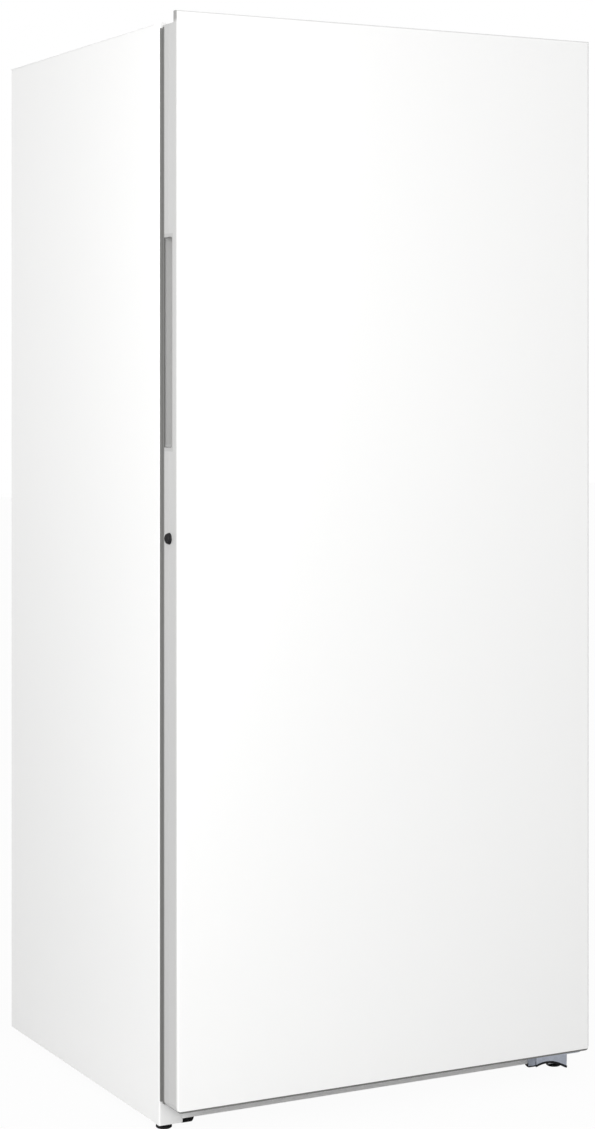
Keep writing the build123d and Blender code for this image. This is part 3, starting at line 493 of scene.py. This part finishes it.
def coated(name, groups, tone, rough, scale, relief, dust=0.05, **fixed):
    """Paint or plastic: one tone with dust, a mottled gloss and a fine relief.

    rough is the lowest and highest roughness; scale and relief are the grain's.
    """
    made = Recipe(name, **fixed)
    grain = made.group(groups["grain"], Scale=scale, Low_Roughness=rough[0],
                       High_Roughness=rough[1])
    soil = made.group(groups["dust"], Clean_Colour=tuple(tone), Amount=dust, Reach=0.5,
                      Dust_Colour=tuple(value * DUSTY for value in tone))
    made.feed(soil.outputs["Colour"], "Base Color")
    made.feed(grain.outputs["Roughness"], "Roughness")
    made.bump(grain.outputs["Height"], relief, 0.4 * MM)
    return made


def plated(name, groups, bright, crystals):
    """Bare or plated metal, mottled by crystals of a given scale."""
    made = Recipe(name, Metallic=1.0)
    zinc = made.group(groups["plating"], Bright=tuple(bright), Crystal_Scale=crystals,
                      Dull=tuple(value * DULL for value in bright))
    made.feed(zinc.outputs["Colour"], "Base Color")
    made.feed(zinc.outputs["Roughness"], "Roughness")
    made.bump(zinc.outputs["Height"], 0.08, 0.3 * MM)
    return made


def door_enamel_with_shade(groups, look, edge_x, top_z):
    """Door paint with painted shade: greyer on the returned side edges and along the rim of the top lip, and
    darker on the lip's ends, in place of the shade that falls there.

    edge_x is how far out the skin reaches at the sides, top_z how high the lip is.
    """
    made = coated("door_enamel_with_shade", groups, look.enamel, (0.26, 0.34), 420.0, 0.05, 0.03,
                  Coat_Weight=0.25, Coat_Roughness=0.12)
    tree = made.tree
    axes = split(tree, object_place(tree))
    fold = (edge_x - 2.4 * MM, edge_x - 0.2 * MM)
    lip_foot = (top_z - 20 * MM, top_z - 14 * MM)
    lip_rim = (top_z - 3.2 * MM, top_z - 1.6 * MM)
    rim_shade_share = 0.42
    # Masks of the painted shade: edge for the returned sides, lip for the lip's ends, rim for a thin band along
    # the lip's top.
    outwards = calculate(tree, "ABSOLUTE", axes["X"], 0.0)
    edge = remap(tree, outwards, *fold, 0.0, 1.0)
    lip = remap(tree, axes["Z"], *lip_foot, 0.0, 1.0)
    rim = remap(tree, axes["Z"], *lip_rim, 0.0, rim_shade_share)
    # Painted shade laid over the paint by these masks.
    edge_and_lip_shade_tone = blend_colour(tree, lip, tuple(look.enamel_edge_shade), tuple(look.lip_end_shade))
    paint_with_rim_shade = blend_colour(tree, rim, made.colour_so_far(), tuple(look.enamel_edge_shade))
    made.feed(blend_colour(tree, edge, paint_with_rim_shade, edge_and_lip_shade_tone), "Base Color")
    return made


def rimmed_cap(groups, look, rim_top):
    """Cap moulding whose lowest rim is darker, as it sits in the door's own shade."""
    made = coated("bottom_cap_moulding", groups, look.trim, (0.42, 0.52), 900.0, 0.10)
    tree, fade = made.tree, 1.5 * MM
    height = split(tree, object_place(tree))["Z"]
    rim = remap(tree, height, rim_top, rim_top + fade, 1.0, 0.0)
    made.feed(blend_colour(tree, rim, made.colour_so_far(), tuple(look.rim)), "Base Color")
    return made


def clear_glass(groups, look):
    """Clear glass with a faint film of dust."""
    made = Recipe("shelf_glass", Transmission_Weight=1.0, IOR=1.5, Metallic=0.0)
    grain = made.group(groups["grain"], Scale=30.0, Low_Roughness=0.02, High_Roughness=0.05)
    soil = made.group(groups["dust"], Clean_Colour=tuple(look.glass), Amount=0.03, Reach=2.0,
                      Dust_Colour=(0.75, 0.8, 0.78))
    made.feed(soil.outputs["Colour"], "Base Color")
    made.feed(grain.outputs["Roughness"], "Roughness")
    return made


def make_finishes(look):
    """Every material, by finish name."""
    groups = {"grain": grain_group(), "dust": dust_group(), "plating": plating_group()}
    skin_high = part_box("door_outer_panel")[1]
    rim_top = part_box("door_bottom_cap")[0].z + 3 * MM
    made = {
        "door_enamel_with_shade": door_enamel_with_shade(groups, look, skin_high.x, skin_high.z),
        "enamel": coated("cabinet_enamel", groups, look.enamel, (0.30, 0.40), 380.0, 0.06,
                         0.05, Coat_Weight=0.2, Coat_Roughness=0.15),
        "bottom_cap": rimmed_cap(groups, look, rim_top),
        # Painted light: lighter than the cabinet enamel to offset the door's shade on the kick plate.
        "kick": coated("kick_plate_enamel_painted_light", groups, look.kick, (0.30, 0.40), 380.0, 0.06, 0.02),
        "trim": coated("edge_moulding", groups, look.trim, (0.42, 0.52), 900.0, 0.10),
        "liner": coated("liner_moulding", groups, look.liner, (0.20, 0.30), 90.0, 0.04, 0.02,
                        Coat_Weight=0.3, Coat_Roughness=0.1),
        "fittings": coated("white_moulding", groups, look.fittings, (0.30, 0.40), 700.0, 0.06,
                           0.02),
        "pocket": coated("pocket_moulding", groups, look.pocket, (0.40, 0.55), 1100.0, 0.16),
        "gasket": coated("gasket_rubber", groups, look.gasket, (0.55, 0.70), 800.0, 0.10),
        "black": coated("black_moulding", groups, look.lock, (0.5, 0.65), 900.0, 0.12,
                        Specular_IOR_Level=0.25),
        "black_enamel": coated("compressor_enamel", groups, look.lock, (0.25, 0.4), 300.0, 0.12),
        "wire": coated("wire_coating", groups, look.wire, (0.28, 0.38), 500.0, 0.05, 0.02),
        "foam": coated("foam", groups, look.foam, (0.8, 0.95), 260.0, 0.5),
        "board": coated("circuit_board", groups, look.board, (0.35, 0.5), 300.0, 0.1),
        "zinc": plated("zinc_plating", groups, look.zinc, 90.0),
        "galvanised": plated("galvanised_steel", groups, look.galvanised, 45.0),
        "copper": plated("copper_tube", groups, look.copper, 25.0),
        "fins": plated("aluminium_fins", groups, look.fins, 30.0),
        "glass": clear_glass(groups, look),
        "lens": coated("lamp_lens", groups, (0.95, 0.95, 0.95), (0.35, 0.5), 120.0, 0.2, 0.0,
                       Transmission_Weight=0.85, Metallic=0.0),
    }
    return {name: recipe.material for name, recipe in made.items()}


# the finish of each material slot, and of the nodes that differ from their slot
SLOT_FINISH = {
    "white_steel": "enamel", "galvanised_steel": "galvanised", "zinc_plate": "zinc",
    "white_plastic": "fittings", "liner_plastic": "liner", "foam": "foam",
    "grey_plastic": "pocket", "gasket_rubber": "gasket", "black_steel": "black_enamel",
    "black_plastic": "black", "copper": "copper", "aluminium": "fins",
    "motor_steel": "galvanised", "shelf_glass": "glass", "lamp_glass": "lens",
    "circuit_board": "board", "white_wire": "wire",
}
NODE_FINISH = {
    "door_outer_panel": "door_enamel_with_shade", "door_top_cap": "trim", "door_bottom_cap": "bottom_cap",
    "door_edge_trims": "trim", "lock_plug": "black", "top_hinge_cover": "enamel",
    "lock_strike": "gasket", "kick_plate": "kick",
}


# --- operators ------------------------------------------------------------------
FINISH = {}  # materials by finish name, filled by the first operator


class FREEZER_OT_finishes(bpy.types.Operator):
    """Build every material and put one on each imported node"""

    bl_idname = "freezer.finishes"
    bl_label = "Finishes"

    def execute(self, context):
        FINISH.update(make_finishes(context.scene.freezer_finishes))
        slots = {part["node"]: part["material_slot"] for part in frame["record"]["subparts"]}
        for name, node in frame["nodes"].items():
            finish = NODE_FINISH.get(name) or SLOT_FINISH[slots[name]]
            node.data.materials.clear()
            node.data.materials.append(FINISH[finish])
        return {"FINISHED"}


class FREEZER_OT_gasket(bpy.types.Operator):
    """Model the door gasket: lip, base strip, bellows and magnet bulb in one mitred frame"""

    bl_idname = "freezer.gasket"
    bl_label = "Door gasket"

    def execute(self, context):
        low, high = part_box("door_gasket")
        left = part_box("door_edge_trims")[0].x
        deep = high.y - low.y
        proud, wrap, lip = 0.3 * MM, 6.5 * MM, 1 * MM
        # millimetres inwards from the frame's edge, and share of its depth from the front
        outline = [(0.6, 0.0), (0.6, 0.16), (4, 0.20), (6, 0.30), (4, 0.40), (6, 0.50),
                   (1.5, 0.55), (0.3, 0.65), (0.3, 0.90), (1.2, 1.0), (26, 1.0), (27.5, 0.90),
                   (27.5, 0.65), (26, 0.55), (19, 0.50), (22, 0.40), (19, 0.30), (22, 0.20),
                   (26, 0.16), (26, 0.0)]
        profile = [(inwards * MM, low.y + share * deep) for inwards, share in outline]
        profile += [(lip, low.y), (lip, low.y - wrap + proud), (lip, low.y - wrap),
                    (-proud, low.y - wrap), (-proud, low.y + proud)]
        piece = mitred_frame("gasket_frame", profile, (high.x - left) / 2, low.z, high.z,
                             (high.x + left) / 2)
        self.cut_for_lock(piece)
        deliver(piece, FINISH["gasket"], "door", "gasket_rubber", "door_gasket")
        return {"FINISHED"}

    def cut_for_lock(self, piece):
        """Hollow the gasket where the lock's cam turns through it."""
        low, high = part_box("lock_strike")
        cam_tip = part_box("lock_plug")[1].x
        beside, ahead, below, above = 2.6 * MM, 30 * MM, 1 * MM, 15 * MM
        slot = rounded_block("cam_room", (cam_tip - beside, low.y - ahead, low.z - below),
                             (high.x, high.y, high.z + above), 0.4 * MM)
        pick(piece)
        cut = piece.modifiers.new("cam room", "BOOLEAN")
        cut.operation = "DIFFERENCE"
        cut.solver = "EXACT"
        cut.object = slot
        bpy.ops.object.modifier_apply(modifier=cut.name)
        bpy.data.objects.remove(slot)


class FREEZER_OT_basket(bpy.types.Operator):
    """Model the sliding basket from coated wire"""

    bl_idname = "freezer.basket"
    bl_label = "Wire basket"

    def execute(self, context):
        size = context.scene.freezer_details
        low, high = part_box("basket")
        rail_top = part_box("basket_rails")[1].z
        overhang, under_rail = 14 * MM, 13 * MM
        bend, corner = size.wire_bend, 20 * MM
        bar_sides = 10
        rim = size.rim_wire
        left, right = low.x + overhang + rim, high.x - overhang - rim
        front, back = low.y + rim, high.y - rim
        top, bottom = high.z - rim, low.z + size.wire
        drop = top - bottom - bend
        down = -Z
        u_bend = (bend, pi / 2, X)
        pieces = []

        across = right - left - 2 * corner
        count = round(across / size.wire_pitch)
        first = bent_bar("basket_wires", (left + corner, front, top), down,
                         [drop, u_bend, back - front - 2 * bend, u_bend, drop], size.wire)
        pieces.append(row_of(first, [X * across * i / count for i in range(1, count + 1)]))

        along = back - front - 2 * corner
        count = round(along / size.cross_pitch)
        over = 2 * size.wire
        side_bend = (bend, pi / 2, -Y)
        first = bent_bar("basket_cross_wires", (left, front + corner, top), down,
                         [drop - over, side_bend, right - left - 2 * bend, side_bend,
                          drop - over], size.wire)
        pieces.append(row_of(first, [Y * along * i / count for i in range(1, count + 1)]))

        loops = [(top, rim), (top - 0.33 * (top - bottom), size.wire),
                 (top - 0.66 * (top - bottom), size.wire)]
        quarter = (corner, pi / 2, Z)
        for height, thick in loops:
            pieces.append(bent_bar(
                "basket_loop", (left + corner, front, height), X,
                [across, quarter, along, quarter, across, quarter, along, quarter], thick,
                bar_sides, closed=True))

        runner_z = rail_top - under_rail + rim
        for side in (-1, 1):
            x = side * (high.x - rim)
            pieces.append(bent_bar("basket_runner", (x, front + corner, runner_z), Y,
                                   [along], rim, bar_sides))
            for share in (0.02, 0.34, 0.66, 0.98):
                start = (x, front + corner + along * share, runner_z)
                pieces.append(bent_bar("basket_lug", start, -X * side, [overhang], size.wire))
        piece = joined(pieces)
        piece.name = "wire_basket"
        deliver(piece, FINISH["wire"], "basket", "white_wire", "basket")
        return {"FINISHED"}


class FREEZER_OT_bin_beads(bpy.types.Operator):
    """Round the rim of each door bin with a rolled bead"""

    bl_idname = "freezer.bin_beads"
    bl_label = "Door bin beads"

    def execute(self, context):
        bead = context.scene.freezer_details.bin_bead
        low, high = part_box("door_bins")
        levels, bin_high, bin_half, corner = 5, 95 * MM, 297 * MM, 14 * MM
        half = bin_half - bead / 2
        front = high.y - bead / 2
        start = Vector((-half, low.y + bead, 0))
        step = (high.z - low.z - bin_high) / (levels - 1)
        bend = (corner, pi / 2, -Z)
        side = front - start.y - corner
        pieces = []
        for level in range(levels):
            top = low.z + step * level + bin_high
            pieces.append(bent_bar("bin_bead", start + Z * top, Y,
                                   [side, bend, 2 * (half - corner), bend, side], bead, 12))
        piece = joined(pieces)
        piece.name = "bin_beads"
        deliver(piece, FINISH["fittings"], "door", "white_plastic")
        return {"FINISHED"}


class FREEZER_OT_finger_pocket(bpy.types.Operator):
    """Add the ribs that fingers grip in the door's pocket"""

    bl_idname = "freezer.finger_pocket"
    bl_label = "Finger pocket"

    def execute(self, context):
        count = context.scene.freezer_details.grip_ribs
        low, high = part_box("handle_insert")
        front = low.y + 3 * MM
        margin, deep, rib_long, rib_high = 18 * MM, 8 * MM, 14 * MM, 4 * MM
        sunk, proud = 0.3 * MM, 1.2 * MM
        bottom, top = low.z + margin, high.z - margin
        step = (top - bottom) / count
        rib = rounded_block("grip_ribs", (low.x + deep, front - sunk, bottom),
                            (low.x + deep + rib_long, front + proud, bottom + rib_high),
                            0.5 * MM, 2)
        ribs = row_of(rib, [Z * step * i for i in range(1, count)])
        deliver(ribs, FINISH["pocket"], "door", "grey_plastic")
        return {"FINISHED"}


class FREEZER_OT_lock_collar(bpy.types.Operator):
    """Add the domed collar round the lock's barrel"""

    bl_idname = "freezer.lock_collar"
    bl_label = "Lock collar"

    def execute(self, context):
        low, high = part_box("lock_housing")
        centre = (low + high) / 2
        outer = (high.z - low.z) / 2
        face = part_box("door_edge_trims")[0].x
        # millimetres out from the barrel's radius, and height over the door's edge
        dome = [(-0.6, -0.2), (-0.6, 2.4), (0.2, 2.4), (0.8, 1.8), (1.1, 0.9), (1.2, -0.2),
                (-0.6, -0.2)]
        collar = lathe("lock_collar", [(outer + out * MM, height * MM) for out, height in dome],
                       (face, centre.y, centre.z), -X, 48)
        deliver(collar, FINISH["black"], "door", "black_plastic")
        return {"FINISHED"}


class FREEZER_OT_feet(bpy.types.Operator):
    """Replace the plain levelling feet with threaded ones on ribbed pads"""

    bl_idname = "freezer.feet"
    bl_label = "Levelling feet"

    def execute(self, context):
        pitch = context.scene.freezer_details.thread_pitch
        for node in ("foot_left", "foot_right"):
            low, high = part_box(node)
            foot = (low + high) / 2
            foot.z = low.z
            pad_r, stem_r, pad_top = (high.x - low.x) / 2, 5 * MM, 14 * MM
            thread_deep = 0.9 * MM
            profile = [(0, 0), (pad_r - 2 * MM, 0), (pad_r, 1.5 * MM), (pad_r, 4 * MM),
                       (pad_r - 1.2 * MM, 5 * MM), (pad_r, 6 * MM), (pad_r, 7.5 * MM),
                       (pad_r - 2 * MM, 9 * MM), (9 * MM, 9.4 * MM), (9 * MM, 13.5 * MM),
                       (8 * MM, pad_top), (stem_r, pad_top)]
            height = pad_top
            while height + pitch < high.z - low.z:
                profile.append((stem_r - thread_deep, height + pitch / 2))
                profile.append((stem_r, height + pitch))
                height += pitch
            profile.append((0, height))
            piece = lathe(f"{node}_threaded", profile, foot, Z, 28)
            deliver(piece, FINISH["black"], node, "black_plastic", node)
        return {"FINISHED"}


class FREEZER_OT_screws(bpy.types.Operator):
    """Replace the plain screws with hexagon washer heads"""

    bl_idname = "freezer.screws"
    bl_label = "Casing screws"

    def execute(self, context):
        low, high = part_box("machine_cover")
        cover_x, inset = 386 * MM, 12 * MM
        cover_screw, hinge_screw = (5 * MM, 1.5 * MM), (6 * MM, 4 * MM)  # radius and height
        places = [((x, high.y, z), Y, *cover_screw)
                  for x in (-cover_x, 0.0, cover_x) for z in (low.z + inset, high.z - inset)]
        plate = 3 * MM
        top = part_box("top_panel")[1].z + plate
        places += [((x * MM, y * MM, top), Z, *hinge_screw)
                   for x, y in ((366, -296), (388, -296), (377, -266))]
        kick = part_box("kick_plate")[0].y - plate
        places += [((x * MM, kick, 28 * MM), -Y, *hinge_screw) for x in (349, 399)]
        piece = joined([self.screw(*place) for place in places])
        piece.name = "hexagon_screws"
        deliver(piece, FINISH["zinc"], "cabinet", "galvanised_steel", "casing_screws")
        return {"FINISHED"}

    def screw(self, place, axis, washer_r, high):
        """Washer with a hexagon head, standing on a face along an axis."""
        washer = lathe("screw_washer",
                       [(0, 0), (washer_r, 0), (washer_r, high * 0.2),
                        (washer_r * 0.8, high * 0.35), (0, high * 0.35)], place, axis, 24)
        clear_selection()
        bpy.ops.mesh.primitive_cylinder_add(
            vertices=6, radius=washer_r * 0.72, depth=high * 0.7,
            location=Vector(place) + axis * high * 0.6,
            rotation=axis.to_track_quat("Z", "Y").to_euler())
        head = settle("screw_head")
        open_mesh()
        bpy.ops.mesh.bevel(offset=high * 0.08, segments=2, affect="EDGES")
        close_mesh()
        return joined([washer, head])


class FREEZER_OT_grille_slats(bpy.types.Operator):
    """Put a rounded slat along each opening of the fan grille inside"""

    bl_idname = "freezer.grille_slats"
    bl_label = "Grille slats"

    def execute(self, context):
        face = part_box("evaporator_cover")[0].y
        rows, pitch, lowest = 9, 16 * MM, 1613 * MM
        longest, shorter = 93 * MM, 12 * MM
        proud, sunk, thick = 5 * MM, 1 * MM, 3.5 * MM
        pieces = []
        for row in range(rows):
            z = lowest + row * pitch
            half = longest - abs(row - rows // 2) * shorter
            pieces.append(rounded_block("grille_slat", (-half, face - proud, z),
                                        (half, face + sunk, z + thick), 0.8 * MM, 2))
        slats = joined(pieces)
        slats.name = "grille_slats"
        deliver(slats, FINISH["fittings"], "cabinet", "white_plastic")
        return {"FINISHED"}


class FREEZER_OT_dial(bpy.types.Operator):
    """Add raised marks round the thermostat knob"""

    bl_idname = "freezer.dial"
    bl_label = "Dial marks"

    def execute(self, context):
        count = context.scene.freezer_details.dial_marks
        low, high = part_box("control_knob")
        recess, gap, sweep = 9 * MM, 3 * MM, radians(240)
        wide, thick, shortest, longer = 1.2 * MM, 0.8 * MM, 2.0 * MM, 0.4 * MM
        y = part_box("control_housing")[0].y + recess - 0.2 * MM
        centre = (low + high) / 2
        reach = (high.x - low.x) / 2 + gap
        pieces = []
        for i in range(count):
            angle = sweep * (i / (count - 1) - 0.5)
            clear_selection()
            bpy.ops.mesh.primitive_cube_add(
                size=1, scale=(wide, thick, shortest + longer * i),
                location=(centre.x + reach * sin(angle), y, centre.z + reach * cos(angle)),
                rotation=(0, angle, 0))
            mark = settle("dial_mark")
            open_mesh()
            bpy.ops.mesh.bevel(offset=0.2 * MM, segments=2, affect="EDGES")
            close_mesh()
            pieces.append(mark)
        piece = joined(pieces)
        piece.name = "dial_marks"
        deliver(piece, FINISH["pocket"], "cabinet", "grey_plastic")
        return {"FINISHED"}


class FREEZER_OT_hinge_shade_lip(bpy.types.Operator):
    """Wrap the lower hinge's arched edge in a soft dark lip, a dark strip that stands in for the shade under the
    arch
    """

    bl_idname = "freezer.hinge_lip"
    bl_label = "Hinge lip"

    def execute(self, context):
        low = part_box("bottom_hinge")[0]
        skirt_ahead, thick, sunk, lift = 29.7 * MM, 2.4 * MM, 1.2 * MM, 2.2 * MM
        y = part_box("kick_plate")[0].y - skirt_ahead + sunk
        # millimetres along and up from the bracket's lowest left point
        edge = [(0, 10), (18, 16.5), (36, 16.5), (53, 7), (67, 0)]
        clear_selection()
        bpy.ops.curve.primitive_nurbs_path_add()
        path = bpy.context.object
        spline = path.data.splines[0]
        for point, (along, up) in zip(spline.points, edge):
            point.co = (low.x + along * MM, y, low.z + up * MM + lift, 1)
        spline.use_endpoint_u = True
        path.data.bevel_depth = thick
        path.data.bevel_resolution = 3
        path.data.resolution_u = 8
        path.data.use_fill_caps = True
        bpy.ops.object.convert(target="MESH")
        lip = settle("hinge_lip")
        open_mesh()
        close_mesh()
        # Painted shade: the black lip stands for the shade beneath the bracket's arch.
        deliver(lip, FINISH["black"], "cabinet", "black_plastic")
        return {"FINISHED"}


class FREEZER_OT_hinge_washer(bpy.types.Operator):
    """Add the nylon washer between the lower hinge and the door"""

    bl_idname = "freezer.hinge_washer"
    bl_label = "Hinge washer"

    def execute(self, context):
        joint = [j for j in frame["joints"] if j["name"] == "door_swing"][0]
        x, y, _ = joint["pos_m"]
        bore, rim, edge, tall, clear = 6.4 * MM, 11 * MM, 1 * MM, 4 * MM, 0.2 * MM
        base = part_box("door_bottom_cap")[0].z - tall - clear
        washer = lathe("hinge_washer",
                       [(bore, 0), (rim - edge, 0), (rim, edge), (rim, tall - edge),
                        (rim - edge, tall), (bore, tall), (bore, 0)],
                       (x, y, base), Z, 40)
        deliver(washer, FINISH["fittings"], "cabinet", "white_plastic")
        return {"FINISHED"}


class FREEZER_OT_stage(bpy.types.Operator):
    """Set the floor, the white surround, the soft key light and the camera"""

    bl_idname = "freezer.stage"
    bl_label = "Studio"

    def execute(self, context):
        studio = context.scene.freezer_studio
        self.floor(studio)
        self.surround(context, studio)
        self.key_light(studio)
        self.camera(context, studio)
        context.scene.view_settings.view_transform = "Standard"
        return {"FINISHED"}

    def floor(self, studio):
        """Pale floor, nearly white to the camera and darker as a bounce light."""
        clear_selection()
        bpy.ops.mesh.primitive_plane_add(size=40, location=(0, 0, 0))
        floor = settle("floor")
        made = Recipe("floor_paint", Roughness=0.9)
        made.shader.inputs["Base Color"].default_value = (*studio.floor, 1.0)
        made.shader.inputs["Specular IOR Level"].default_value = 0.1
        glow = made.tree.nodes.new("ShaderNodeEmission")
        self.camera_only(made.tree, made.shader.outputs[0], glow.outputs[0], studio.floor_white,
                         made.tree.nodes["Material Output"].inputs["Surface"])
        floor.data.materials.append(made.material)

    def camera_only(self, tree, light, seen, share, target):
        """Mix a share of another shader in, for the camera only."""
        path = tree.nodes.new("ShaderNodeLightPath")
        factor = calculate(tree, "MULTIPLY", path.outputs["Is Camera Ray"], share)
        mix = tree.nodes.new("ShaderNodeMixShader")
        tree.links.new(factor, mix.inputs[0])
        tree.links.new(light, mix.inputs[1])
        tree.links.new(seen, mix.inputs[2])
        tree.links.new(mix.outputs[0], target)

    def surround(self, context, studio):
        """White world: plain white to the camera, softer and fading rearwards as a light."""
        world = bpy.data.worlds.new("surround")
        context.scene.world = world
        world.use_nodes = True
        tree = world.node_tree
        even = tree.nodes["Background"]
        even.inputs["Color"].default_value = (1, 1, 1, 1)
        way = split(tree, tree.nodes.new("ShaderNodeTexCoord").outputs["Generated"])
        across = calculate(tree, "ADD", way["X"], way["Y"])
        spread = 0.9
        fade = remap(tree, across, -spread, spread, studio.sky, studio.sky * (1 - studio.shade))
        tree.links.new(fade, even.inputs["Strength"])
        seen = tree.nodes.new("ShaderNodeBackground")
        seen.inputs["Color"].default_value = (1, 1, 1, 1)
        self.camera_only(tree, even.outputs[0], seen.outputs[0], 1.0,
                         tree.nodes["World Output"].inputs["Surface"])

    def key_light(self, studio):
        clear_selection()
        way = Vector(studio.key_aim) - Vector(studio.key_place)
        bpy.ops.object.light_add(type="AREA", location=studio.key_place,
                                 rotation=way.to_track_quat("-Z", "Y").to_euler())
        light = bpy.context.object
        light.name = "key_light"
        light.data.size = studio.key_size
        light.data.energy = studio.key
        light.visible_camera = False

    def camera(self, context, studio):
        clear_selection()
        bpy.ops.object.camera_add(location=studio.camera_place,
                                  rotation=(radians(90), 0, studio.camera_turn))
        camera = bpy.context.object
        camera.name = "camera"
        camera.data.lens = studio.lens
        camera.data.sensor_width = 36
        camera.data.shift_y = studio.rise
        camera.data.clip_end = 100
        context.scene.camera = camera


# --- panel and registration --------------------------------------------------------
STEPS = [
    FREEZER_OT_finishes, FREEZER_OT_gasket, FREEZER_OT_basket, FREEZER_OT_bin_beads,
    FREEZER_OT_finger_pocket, FREEZER_OT_lock_collar, FREEZER_OT_feet, FREEZER_OT_screws,
    FREEZER_OT_grille_slats, FREEZER_OT_dial, FREEZER_OT_hinge_shade_lip, FREEZER_OT_hinge_washer,
    FREEZER_OT_stage,
]


class FREEZER_PT_panel(bpy.types.Panel):
    """Lists the freezer's settings and steps in the sidebar"""

    bl_label = "Upright freezer"
    bl_idname = "FREEZER_PT_panel"
    bl_space_type = "VIEW_3D"
    bl_region_type = "UI"
    bl_category = "Freezer"

    def draw(self, context):
        for group in (context.scene.freezer_finishes, context.scene.freezer_details,
                      context.scene.freezer_studio):
            box = self.layout.box()
            for name in group.__annotations__:
                box.prop(group, name)
        for step in STEPS:
            self.layout.operator(step.bl_idname)


CLASSES = [FreezerFinishes, FreezerDetails, FreezerStudio, *STEPS, FREEZER_PT_panel]


def register():
    for cls in CLASSES:
        bpy.utils.register_class(cls)
    bpy.types.Scene.freezer_finishes = PointerProperty(type=FreezerFinishes)
    bpy.types.Scene.freezer_details = PointerProperty(type=FreezerDetails)
    bpy.types.Scene.freezer_studio = PointerProperty(type=FreezerStudio)


def unregister():
    del bpy.types.Scene.freezer_studio
    del bpy.types.Scene.freezer_details
    del bpy.types.Scene.freezer_finishes
    for cls in reversed(CLASSES):
        bpy.utils.unregister_class(cls)


def main():
    register()
    for step in STEPS:
        area, name = step.bl_idname.split(".")
        getattr(getattr(bpy.ops, area), name)()


if __name__ == "__main__":
    main()
